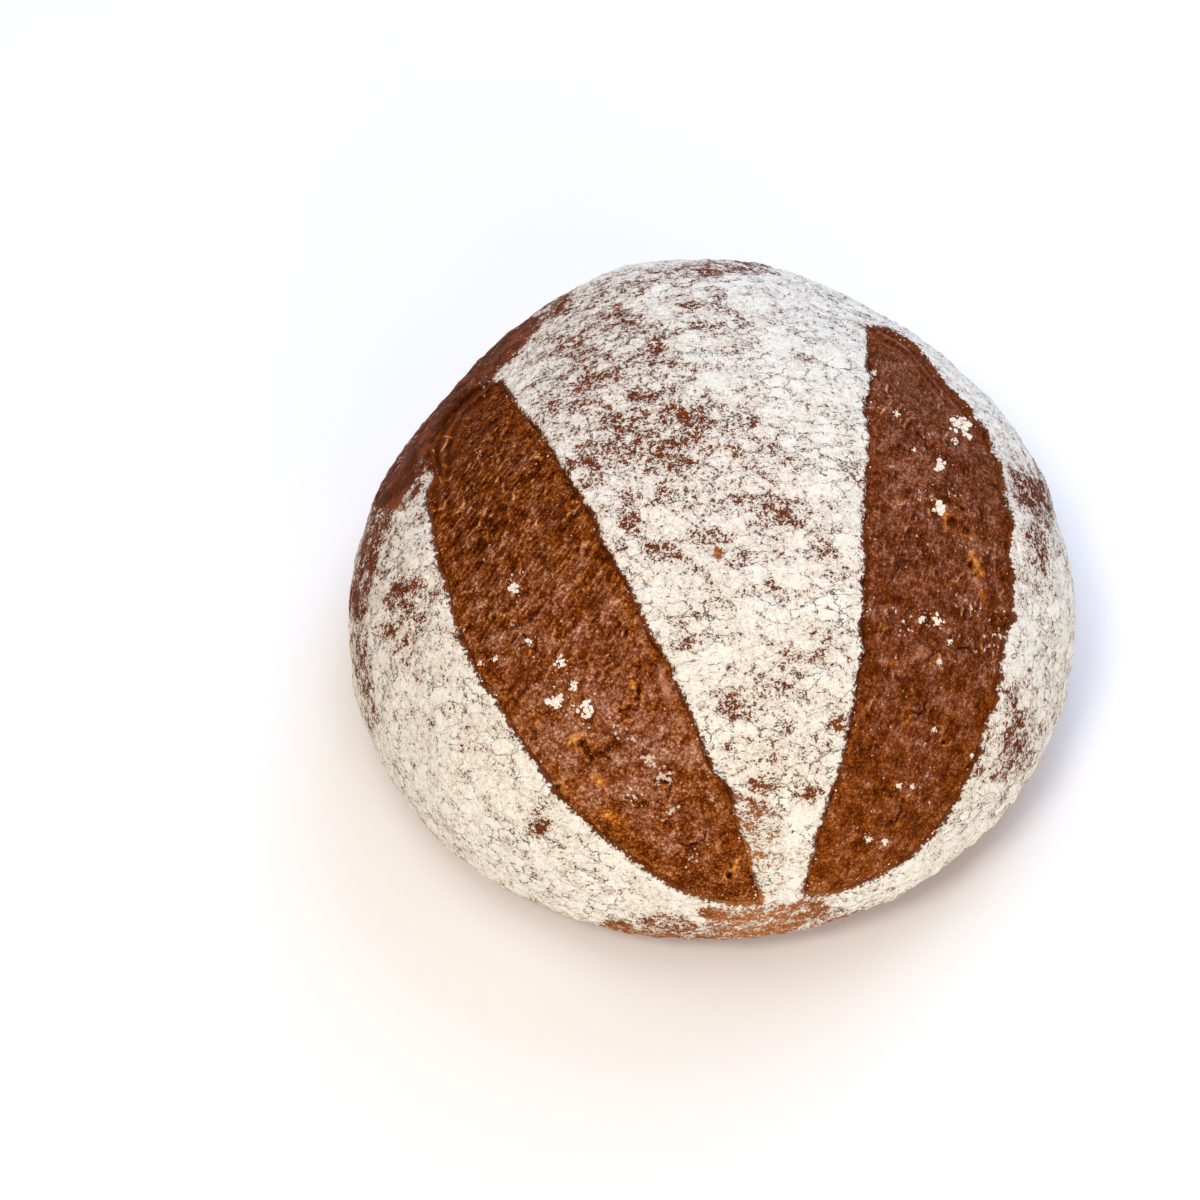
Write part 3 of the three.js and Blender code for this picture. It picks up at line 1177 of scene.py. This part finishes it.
painted_lip_shade = add_node(floured, "MapRange", {"Value": outside, "To Min": -LIP_SHADE, "To Max": 0.0})
bare_tone = add_node(floured, "Math", {0: flakes, 1: painted_lip_shade}, operation="ADD")
rust_clouds = add_node(floured, "TexNoise", pattern(where, RUST_SIZE, **ROUGH))
rusting = {"Value": rust_clouds, "From Min": RUST_STARTS, "From Max": RUST_WHOLE, "To Max": RUST_MOST}
coats = [
    (add_node(floured, "MapRange", rusting), linear("#8E4318")),
    (painted["pale"], add_node(floured, "ValToRGB", {"Fac": bare_tone}, stops=PALE_STOPS)),
    (cover, add_node(floured, "ValToRGB", {"Fac": flakes}, stops=FLOUR_STOPS)),
    # painted shade: the cracks are painted grey
    (crack_depth, linear("#6A594E")),
]
colour = add_node(floured, "ValToRGB", {"Fac": bare_tone}, stops=CRUST_STOPS)
for share, over in coats:
    layers = {"Factor": share, "A": colour, "B": over}
    colour = add_node(floured, "Mix", layers, output="Result", data_type="RGBA")
print("coloured:", len(floured.node_tree.nodes), "nodes")

# %% [markdown]
# ## Relief of the crust
#
# Flakes of flour stand half a millimetre proud, each plate a little rounded, and the cracks go in. A
# Bump raises them, because they are too thin and too many to model. Baked starch and flour are dull,
# because they scatter light below their surface, so hardly any of it is mirrored.

# %% Floured crust: relief and dullness
FLOUR_THICKNESS = 0.5 * MM
PLATE_ROUNDING = 0.25  # as a share of a plate
PLATE_RELIEF = 0.5  # as a share of the flour's thickness, as is the next
CRACK_RELIEF = -0.5
CRUST_ROUGHNESS = 0.6
FLOUR_ROUGHNESS = 0.95
DULL_SHINE = 0.03
STARCH_IOR = 1.45


def finish_surface(material, colour, roughness, height, depth, shine, strength=1.0):
    """Ends a material with its relief, a dull shader and the output."""
    relief = {"Height": height, "Distance": depth, "Strength": strength}
    finish = {
        "Base Color": colour,
        "Roughness": roughness,
        "Normal": add_node(material, "Bump", relief),
        "IOR": STARCH_IOR,
        "Specular IOR Level": shine,
    }
    surface = add_node(material, "BsdfPrincipled", finish)
    add_node(material, "OutputMaterial", {"Surface": surface})


rounding = {"Value": borders, "From Max": PLATE_ROUNDING, "To Max": PLATE_RELIEF}
plate_dome = add_node(floured, "MapRange", rounding)
heaped = add_node(floured, "Math", {0: flakes, 1: plate_dome}, operation="ADD")
thickness = add_node(floured, "Math", {0: cover, 1: heaped}, operation="MULTIPLY")
opened = {0: crack_depth, 1: CRACK_RELIEF, 2: thickness}
thickness = add_node(floured, "Math", opened, operation="MULTIPLY_ADD")
dulled = {"Value": cover, "To Min": CRUST_ROUGHNESS, "To Max": FLOUR_ROUGHNESS}
roughness = add_node(floured, "MapRange", dulled)
finish_surface(floured, colour, roughness, thickness, FLOUR_THICKNESS, DULL_SHINE)
crust.data.materials.append(floured)
print("floured crust:", len(floured.node_tree.nodes), "nodes")

# %% [markdown]
# ## The crumb along a slash
#
# The crumb is not the same from end to end. In the left slash it is dark, orange and fibrous at the far
# end, and paler and duller to the front. In the right one the front is paler and the far end duller.
# Each is one number per vertex, which runs evenly from one place along the slash to the next.

# %% Torn crumb: numbers along a slash
CRUMB_RUN = {  # place along the slash in millimetres, tone, dullness and how fibrous the crumb is
    "left": [
        (-73, 0.49, 0.10, 0.1),
        (-58, 0.505, 0.20, 0.1),
        (-32, 0.57, 0.60, 0.25),
        (-5, 0.505, 0.45, 0.5),
        (35, 0.435, 0.15, 1.0),
        (73, 0.39, 0.0, 0.8),
    ],
    "right": [
        (-72, 0.525, 0.15, 0.2),
        (-50, 0.485, 0.25, 0.2),
        (-10, 0.45, 0.60, 0.4),
        (30, 0.45, 0.75, 0.4),
        (60, 0.455, 0.85, 0.4),
        (83, 0.46, 0.85, 0.4),
    ],
}

for side, tear in tears.items():
    on_plane = plane_places(tear)
    along, *runs = np.array(CRUMB_RUN[side]).T
    for name, run in zip(("tone", "dullness", "fibrous"), runs):
        set_attribute(tear, name, np.interp(on_plane[:, 1], along, run))
    print(f"{side} tear: tones {runs[0].min():.2f} to {runs[0].max():.2f}")

# %% [markdown]
# ## Thin skins, flaps and dust
#
# Thin skins over gas cells let light through, so they are painted amber and lighter, as painted light
# shining through them. Torn flaps are pink, and flour dusted some places. Like the flour's bare
# patches, each is a soft strip or spot on the tipped plane, and the strongest one counts where they meet.

# %% Torn crumb: thin skins, flaps and dust
THIN_SKINS = {  # two ends on the tipped plane and half width, in millimetres
    "left": [
        (-41.2, -26.8, -38.6, -25.4, 1.3),
        (-33.5, -46, -30.5, -48, 2.0),
        (-24.8, -11.8, -24.2, -13.2, 1.1),
        (-36, -36.2, -34, -37.6, 1.2),
        (-0.5, -60, -1.5, -63.5, 0.6),
        (-50.8, -19.5, -50, -21.5, 1.0),
    ],
    "right": [
        (61.2, 26.2, 61.8, 22.8, 1.5),
        (66.0, 20.6, 67.6, 19.8, 0.9),
        (67.2, 15.6, 68.4, 12.6, 1.2),
        (68.4, 12.6, 69.6, 9.8, 1.2),
        (69.0, 5.2, 69.2, 3.2, 1.1),
        (45.4, -24, 45, -26.5, 1.0),
    ],
}
FLAPS = {
    "left": [(-17.6, -9.6, -15.8, -16.4, 1.4), (-13.5, -22, -12, -25.5, 0.7)],
    "right": [(67.3, 9.1, 68.2, 6.4, 0.6), (50.2, -8.8, 51.0, -9.6, 2.2)],
}
DUSTED = {  # place on the tipped plane, radius in millimetres and how thick the dust is
    "left": [
        (-29, -24, 3, 0.9),
        (-25.5, -27, 2.2, 0.9),
        (-21.5, -32, 3, 1.1),
        (-18, -36.5, 3, 1.0),
        (-26, -41, 3, 1.0),
        (-17, -46, 3.5, 0.7),
        (-12, -58, 3.5, 0.6),
        (-8, -40, 9, 0.2),
        (-45, 0, 25, 0.05),
    ],
    "right": [
        (56, 40, 20, 0.1),
        (62, 30, 8, 0.3),
        (52, 0, 18, 0.15),
        (66, 2, 6, 0.45),
        (72, -7, 6, 0.6),
        (46, -2, 5, 0.5),
        (45, -45, 18, 0.15),
    ],
}
STRIP_SOFTNESS = 0.8  # the share of a strip's half width at which it has mostly faded

for side, tear in tears.items():
    on_plane = plane_places(tear)
    for name, strips in {"thin": THIN_SKINS[side], "flap": FLAPS[side]}.items():
        near = [near_line(on_plane, ends, STRIP_SOFTNESS * half_width) for *ends, half_width in strips]
        set_attribute(tear, name, np.max(near, axis=0))
    dusted = [thick * near_spot(on_plane, u, v, radius) for u, v, radius, thick in DUSTED[side]]
    dust = np.max(dusted, axis=0)
    set_attribute(tear, "dust", dust)
    print(f"{side} tear: dust up to {dust.max():.1f}")

# %% [markdown]
# ## Tone of the torn crumb
#
# The crumb in a slash was bare to the oven, so it browned, strand by strand, from tan to a dark
# brown. One number is its tone: it starts from the painted one, and fibres, grains and blotches make
# it uneven, with painted glints of light on broken cells and painted shade between the grains. Crests
# are painted lighter and hollows, cracks and pits darker, as painted light and shade.

# %% Torn crumb: tone
FIBRE_SIZE = (4.2, 0.8, 0.8)  # millimetres, along and across the strands
FIBRE_STRENGTH = 0.8
FIBROUS_CALM = 0.65  # how much of the other noise is left between strands
CRUMB_TONES = {  # size in millimetres and strength
    "grain": (0.45, 0.62),
    "crumb": (1.6, 0.58),
    "blotch": (5.0, 0.62),
}
# Painted light and shade: crests, bumps, curls and folds are painted lighter, as if light fell on them, and
# hollows, cracks and pits darker, as shade; thin skins are painted lighter, as light shining through them.
PAINTED_LIGHT_AND_SHADE = {  # how much lighter each attribute makes the crumb
    "crest_mm": 0.38,
    "bump_mm": 0.14,
    "curl": 0.36,
    "crack": -0.26,
    "fold": 0.07,
    "pit": -0.26,
    "thin": 0.14,
}
UNEVENNESS = {"left": 1.0, "right": 0.8}
ROLLED_CALM = 0.4  # how much of the noise is left on the folds
# Painted light and shade: each grain is painted lighter in its middle and darker between grains, as shade
# in the gaps.
ROUND_GRAIN = 0.9  # millimetres, as grains that are light in their middle and dark between them
ROUND_EDGE = {"From Min": 0.2, "From Max": 0.75}  # shares of a grain
ROUND_SHADE = {"To Min": 0.10, "To Max": -0.10}
# Painted glints: small light specks stand for light caught by the tips of broken cells.
GLINT_SIZE = 0.42  # millimetres, as broken cells whose tips catch the light
GLINT_EDGE = {"From Min": 0.60, "From Max": 0.68}
GLINT_LIGHT = 0.28


def crumb_tone(material, side, flat, along, where, painted):
    uneven = 0.0
    for size, strength in CRUMB_TONES.values():
        uneven = break_up(material, uneven, where, per_metre(size), strength)
    calming = {"Value": painted["fibrous"], "To Min": 1.0, "To Max": FIBROUS_CALM}
    between_strands = add_node(material, "MapRange", calming)
    uneven = add_node(material, "Math", {0: uneven, 1: between_strands}, operation="MULTIPLY")
    fibre_scale = [per_metre(size) for size in FIBRE_SIZE]
    fibre_space = add_node(material, "Mapping", {"Vector": along, "Scale": fibre_scale})
    stringy = {0: painted["fibrous"], 1: FIBRE_STRENGTH}
    fibre_strength = add_node(material, "Math", stringy, operation="MULTIPLY")
    uneven = break_up(material, uneven, fibre_space, 1.0, fibre_strength)
    cells = add_node(material, "TexVoronoi", pattern(where, ROUND_GRAIN), output="Distance")
    grains = add_node(material, "MapRange", {"Value": cells, **ROUND_EDGE, **ROUND_SHADE})
    uneven = add_node(material, "Math", {0: uneven, 1: grains}, operation="ADD")
    glint_noise = add_node(material, "TexNoise", pattern(flat, GLINT_SIZE, **ROUGH))
    painted_glints = add_node(material, "MapRange", {"Value": glint_noise, **GLINT_EDGE, "To Max": GLINT_LIGHT})
    uneven = add_node(material, "Math", {0: uneven, 1: painted_glints}, operation="ADD")
    folded = {"Value": painted["rolled"], "To Min": UNEVENNESS[side], "To Max": ROLLED_CALM}
    shaded = {0: uneven, 1: add_node(material, "MapRange", folded), 2: painted["tone"]}
    tone = add_node(material, "Math", shaded, operation="MULTIPLY_ADD")
    for name, shade in PAINTED_LIGHT_AND_SHADE.items():
        shaded = {0: painted[name], 1: shade, 2: tone}
        tone = add_node(material, "Math", shaded, operation="MULTIPLY_ADD")
    return tone


print("the crumb's tone has", len(CRUMB_TONES) + len(PAINTED_LIGHT_AND_SHADE), "shades")

# %% [markdown]
# ## Colour of the torn crumb
#
# Orange tones show where the crumb is thin, along the edges, and duller, purplish ones on the thick
# middle. The tone runs through a colour ramp for each, and a mottle chooses between them. Thin skins
# and the rims of pits are painted amber, as painted light shining through them, torn flaps are pink,
# and specks of flour lie over all of them.

# %% Torn crumb: colour
CRUMB_STOPS = {
    "orange": [(0.2, "#2C0E01"), (0.4, "#5C2603"), (0.55, "#87420C"), (0.7, "#B06C2F"), (0.85, "#D8A776")],
    "purple": [(0.2, "#34120A"), (0.4, "#5E2C19"), (0.55, "#834A31"), (0.7, "#AC785D"), (0.85, "#D6AC93")],
    "amber": [(0.25, "#4A2003"), (0.48, "#94480E"), (0.65, "#D07C2C"), (0.85, "#EEB468")],
    "flap": [(0.25, "#6E3A26"), (0.50, "#B07050"), (0.75, "#D8A084")],
}
MOTTLE_SIZE = 5  # millimetres
MOTTLE_RANGE = 0.16
ORANGE_EDGE = 6  # millimetres in from the edge
ORANGE_LEAN = -0.12  # how far the edge leans to orange
AMBER_SIZE = 4.5  # millimetres, as small thin places all over
AMBER_EDGE = {"From Min": 0.60, "From Max": 0.70}
AMBER_MOST = 0.4
RIM_AMBER = 0.7
DUST_SIZE = 1.2  # millimetres
DUST_REACH = 0.20
DUST_EDGE = {"From Min": 0.69, "From Max": 0.74}
DUST_LAYERS = {"Detail": 4.0, "Lacunarity": 2.17}  # not a whole number, so that layers don't line up


def crumb_colour(material, tone, along, where, painted):
    mottle = add_node(material, "TexNoise", pattern(where, MOTTLE_SIZE, Detail=3.0, **ROUGH))
    edging = {"Value": painted["edge_mm"], "From Max": ORANGE_EDGE, "To Min": ORANGE_LEAN, "To Max": 0.0}
    edge_lean = add_node(material, "MapRange", edging)
    leaning = add_node(material, "Math", {0: mottle, 1: edge_lean}, operation="ADD")
    dulling = {0: painted["dullness"], 1: 2 * MOTTLE_RANGE, 2: leaning}
    leaning = add_node(material, "Math", dulling, operation="MULTIPLY_ADD")
    middle = {"Value": leaning, "From Min": 0.5, "From Max": 0.5 + 2 * MOTTLE_RANGE}
    dull = add_node(material, "MapRange", middle)

    thinness = add_node(material, "TexNoise", pattern(where, AMBER_SIZE, Detail=3.0, **ROUGH))
    amber = add_node(material, "MapRange", {"Value": thinness, **AMBER_EDGE, "To Max": AMBER_MOST})
    # Painted light: the rims of the pits and the thin skins are painted amber, as light shining through
    # them.
    rims = add_node(material, "Math", {0: painted["rim"], 1: RIM_AMBER}, operation="MULTIPLY")
    for thin in (painted["thin"], rims):
        amber = add_node(material, "Math", {0: amber, 1: thin}, operation="MAXIMUM")

    specks = add_node(material, "TexNoise", pattern(along, DUST_SIZE, **DUST_LAYERS))
    dusting = {0: painted["dust"], 1: DUST_REACH, 2: specks}
    dusted = add_node(material, "Math", dusting, operation="MULTIPLY_ADD")
    dust = add_node(material, "MapRange", {"Value": dusted, **DUST_EDGE})

    browned = {
        name: add_node(material, "ValToRGB", {"Fac": tone}, stops=stops)
        for name, stops in CRUMB_STOPS.items()
    }
    colour = browned["orange"]
    coats = [
        (dull, browned["purple"]),
        (amber, browned["amber"]),
        (painted["flap"], browned["flap"]),
        (dust, linear("#DCC6B5")),
    ]
    for share, over in coats:
        layers = {"Factor": share, "A": colour, "B": over}
        colour = add_node(material, "Mix", layers, output="Result", data_type="RGBA")
    return colour


print("colours of the crumb:", ", ".join(CRUMB_STOPS))

# %% [markdown]
# ## Material of the torn crumb
#
# Torn crumb is dry baked starch, with hardly any shine. Its strands run in another direction in each
# slash, so each has its own material. Mapping nodes lay the patterns on the tipped plane and turn them
# along the strands, and the tone is also the relief, because what stands out is lighter.

# %% Torn crumb material
CRUMB_RELIEF = 0.5 * MM
CRUMB_SHINE = 0.02
PAINTED_ON_CRUMB = [*PAINTED_LIGHT_AND_SHADE, "tone", "dullness", "fibrous", "rolled", "edge_mm", "rim", "flap", "dust"]


def torn_crumb(side):
    material = new_material(f"torn_crumb_{side}")
    where = add_node(material, "TexCoord", output="Object")
    flat = add_node(material, "Mapping", {"Vector": where, "Rotation": (-TILT, 0, 0)})
    along = add_node(material, "Mapping", {"Vector": flat, "Rotation": (0, 0, -STRAND_ANGLE[side])})
    painted = {
        name: add_node(material, "Attribute", output="Fac", attribute_name=name)
        for name in PAINTED_ON_CRUMB
    }
    tone = crumb_tone(material, side, flat, along, where, painted)
    colour = crumb_colour(material, tone, along, where, painted)
    finish_surface(material, colour, CRUST_ROUGHNESS, tone, CRUMB_RELIEF, CRUMB_SHINE)
    return material


for side, tear in tears.items():
    tear.data.materials.append(torn_crumb(side))
    print("material:", tear.data.materials[0].name)

# %% [markdown]
# ## A grain of flour
#
# Lumps of damp flour dropped into the slashes, and grains crumbled from the coat along their edges.
# One grain is modelled from an ico sphere that loses half its faces and whose vertices are moved at
# random. It has few faces, because more than a thousand copies of it follow.

# %% Model one grain
FACES_KEPT = 0.5
ROUGHENING = 0.45  # as a share of the radius
ROUGHENING_SEED = 3

bpy.ops.object.select_all(action="DESELECT")
bpy.ops.mesh.primitive_ico_sphere_add(subdivisions=2, radius=1)
model_grain = bpy.context.object
bpy.ops.object.mode_set(mode="EDIT")
bpy.ops.mesh.select_all(action="SELECT")
bpy.ops.mesh.decimate(ratio=FACES_KEPT)
bpy.ops.transform.vertex_random(offset=ROUGHENING, seed=ROUGHENING_SEED)
bpy.ops.object.mode_set(mode="OBJECT")
grain_points = vertex_places(model_grain)
grain_faces = [face.vertices[:] for face in model_grain.data.polygons]
bpy.data.objects.remove(model_grain)
print("one grain:", len(grain_faces), "faces")

# %% [markdown]
# ## Dropping a grain
#
# Hundreds of copies as objects would be slow, so turned and sized copies of the grain's points are
# put together in one mesh. Each drops along the normal of the tipped plane until it meets the loaf,
# which a ray finds, and it lies there as the surface does.

# %% Drop a grain
SIZE_SPREAD = (0.7, 1.3)
LYING_HEIGHT = 0.2  # of its radius, from the surface to a grain's middle
FLOUR_SEED = 7

draw = random.Random(FLOUR_SEED)
down = to_loaf @ Vector((0, 0, -1))
points = []
faces = []


def drop_grain(side, u, v, radius, flatness):
    start = to_loaf @ (Vector((u, v, 0)) * MM + Vector((0, 0, DROP_HEIGHT)))
    falls = [piece.ray_cast(start, down) for piece in (tears[side], crust)]
    landed = [(spot, normal) for hit, spot, normal, _ in falls if hit]
    if not landed:
        return
    spot, normal = min(landed, key=lambda fall: (fall[0] - start).length)
    spin = Matrix.Rotation(draw.uniform(0, math.tau), 3, "Z")
    size = Matrix.Diagonal([radius * MM * draw.uniform(*SIZE_SPREAD) * share for share in (1, 1, flatness)])
    turn = normal.to_track_quat("Z", "Y").to_matrix() @ spin @ size
    middle = spot + normal * radius * LYING_HEIGHT * MM
    first = len(points) * len(grain_points)
    points.append(grain_points @ np.array(turn).T + np.array(middle))
    faces.extend([[corner + first for corner in face] for face in grain_faces])


print("grains fall along", [round(step, 2) for step in down])

# %% [markdown]
# ## Lumps
#
# A lump isn't one ball: damp flour clings together in crumbs, and a few stray ones roll off. Each lump
# is a cloud of grains, denser in its middle.

# %% Lumps in the slashes
LUMPS = {  # place on the tipped plane and half width, in millimetres
    "left": [
        (-54.1, 13.7, 1.5),
        (-50.6, -0.5, 0.9),
        (-42.9, -6, 1.4),
        (-39.9, -12.6, 1.1),
        (-44.5, -16.2, 1.8),
        (-37.2, -18.9, 1.9),
        (-59.8, -4.4, 0.7),
        (-63.9, -5.3, 0.6),
    ],
    "right": [
        (47.5, 67, 0.8),
        (71, 50.3, 2.6),
        (67.8, 46.5, 0.8),
        (61.6, 40, 1.6),
        (51.6, 54.5, 0.9),
        (54.9, 44.1, 0.6),
        (59.5, 27.7, 1.7),
        (55.2, -1.3, 1.2),
        (51.1, -1, 1.0),
        (58.4, -7.2, 0.7),
        (54.9, -12.2, 0.7),
        (34.5, -57.5, 0.9),
        (38.9, -58.6, 0.9),
        (42.6, -43.8, 0.8),
        (46.5, -44.2, 0.7),
        (63.5, -37.7, 0.7),
        (52.6, -29.9, 0.7),
    ],
}
LUMP_FLATNESS = 0.8
LUMP_GRAINS = {  # how many, then their spread and radii as shares of the lump's half width
    "lump": (26, 0.5, (0.12, 0.38)),
    "stray": (7, 1.5, (0.06, 0.15)),
}


def drop_lumps(side):
    for u, v, half_width in LUMPS[side]:
        for count, spread, radii in LUMP_GRAINS.values():
            for _ in range(count):
                place = [draw.gauss(at, spread * half_width) for at in (u, v)]
                drop_grain(side, *place, half_width * draw.uniform(*radii), LUMP_FLATNESS)


print("lumps:", {side: len(lumps) for side, lumps in LUMPS.items()})

# %% [markdown]
# ## Crumbled flour along the edges
#
# The coat of flour broke where the slashes opened, and its grains lie along their edges. More of them
# lie where the coat is thick. All the grains then become one mesh.

# %% Grains along the edges, and the mesh of all grains
FRINGE_GRAINS = 170  # along the edges of each slash
FRINGE_RADIUS = (0.08, 0.26)  # millimetres, as is the next
FRINGE_SPREAD = 1.0
FRINGE_FLATNESS = 0.5
FRINGE_GAIN = 1.6  # a grain's chance is this many times the coat
FRINGE_LOSS = 0.4  # less this


def drop_fringe(side):
    left, right = edges[side]
    outline = np.vstack([left, right[::-1]])
    for _ in range(FRINGE_GRAINS):
        place = draw.uniform(0, len(outline) - 1)
        u, v = [np.interp(place, np.arange(len(outline)), outline[:, axis]) for axis in (0, 1)]
        u, v = [draw.gauss(at, FRINGE_SPREAD) for at in (u, v)]
        coat = flour_coat(np.array([DROP_HEIGHT]), np.array([[u, v, 0]]), np.ones(1))[0]
        if draw.random() < FRINGE_GAIN * coat - FRINGE_LOSS:
            drop_grain(side, u, v, draw.uniform(*FRINGE_RADIUS), FRINGE_FLATNESS)


for side in LUMPS:
    drop_lumps(side)
    drop_fringe(side)
loose_flour = bpy.data.objects.new("loose_flour", bpy.data.meshes.new("loose_flour"))
bpy.context.collection.objects.link(loose_flour)
loose_flour.data.from_pydata(np.vstack(points).tolist(), [], faces)
print("grains of flour:", len(points))

# %% [markdown]
# ## Loose flour material
#
# The grains are the same flour as the coat, but thicker, so no crust shows through. A fine grain
# keeps them from looking like plastic.

# %% Loose flour material
LUMP_GRIT = 0.5  # millimetres, coarser than real grains, which are too fine to show
LUMP_STOPS = [(0.3, "#DECCB8"), (0.6, "#FAF1E3")]
LUMP_RELIEF = 0.2 * MM
LUMP_RELIEF_STRENGTH = 0.6

lump_flour = new_material("lump_flour")
where = add_node(lump_flour, "TexCoord", output="Object")
grit = add_node(lump_flour, "TexNoise", pattern(where, LUMP_GRIT, Detail=3.0))
colour = add_node(lump_flour, "ValToRGB", {"Fac": grit}, stops=LUMP_STOPS)
finish_surface(lump_flour, colour, FLOUR_ROUGHNESS, grit, LUMP_RELIEF, DULL_SHINE, LUMP_RELIEF_STRENGTH)
loose_flour.data.materials.append(lump_flour)
print("material:", lump_flour.name)

# %% [markdown]
# ## Floor and light
#
# The loaf stands on a plain white sweep under soft studio light: a white room all round, warm lights
# from the left, the front and above, and a cool one from behind, like a window.

# %% Floor, world and lights
FLOOR_SIZE = 6.0  # metres
FLOOR_ROUGHNESS = 0.9
ROOM_STRENGTH = 0.36
LIGHTS = {  # place in metres, size in metres, power in watts, colour
    "key": ((-0.5, -0.4, 1.25), 0.35, 6.3, "#FFF1E2"),
    "fill": ((0.35, -1.1, 0.4), 1.0, 8.1, "#FFFBF6"),
    "top": ((-0.35, 0.3, 1.4), 0.7, 4.1, "#FFF9F2"),
    "sky": ((0.5, 0.95, 0.9), 1.0, 14.2, "#B8D2FF"),
}

bpy.ops.object.select_all(action="DESELECT")
bpy.ops.mesh.primitive_plane_add(size=FLOOR_SIZE)
floor = bpy.context.object
floor.name = "floor"
white_sweep = new_material("white_sweep")
painted_paper = {"Base Color": linear("#F6F5F3"), "Roughness": FLOOR_ROUGHNESS}
surface = add_node(white_sweep, "BsdfPrincipled", painted_paper)
add_node(white_sweep, "OutputMaterial", {"Surface": surface})
floor.data.materials.append(white_sweep)

room = bpy.data.worlds.new("room")
room.use_nodes = True
room_light = room.node_tree.nodes["Background"].inputs
room_light["Color"].default_value = linear("#FFFFFF")
room_light["Strength"].default_value = ROOM_STRENGTH
bpy.context.scene.world = room
for name, (place, size, power, hex_colour) in LIGHTS.items():
    bpy.ops.object.light_add(type="AREA", location=place)
    light = bpy.context.object
    light.name = name
    light.data.size = size
    light.data.energy = power
    light.data.color = linear(hex_colour)[:3]
    light.rotation_euler = (AIM - Vector(place)).to_track_quat("-Z", "Y").to_euler()
bpy.context.scene.view_settings.view_transform = "Standard"
print("lights:", ", ".join(LIGHTS))

# %% [markdown]
# ## Handing over
#
# Every piece rides on the loaf's one body.

# %% Fasten the pieces and count their triangles
pieces = {"crust": crust, **tears}
for piece in pieces.values():
    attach(piece, "root")
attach(loose_flour, "root")
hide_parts("loaf")
for piece in [*pieces.values(), loose_flour]:
    triangles = sum(len(face.vertices) - 2 for face in piece.data.polygons)
    print(f"{piece.name}: {triangles} triangles")
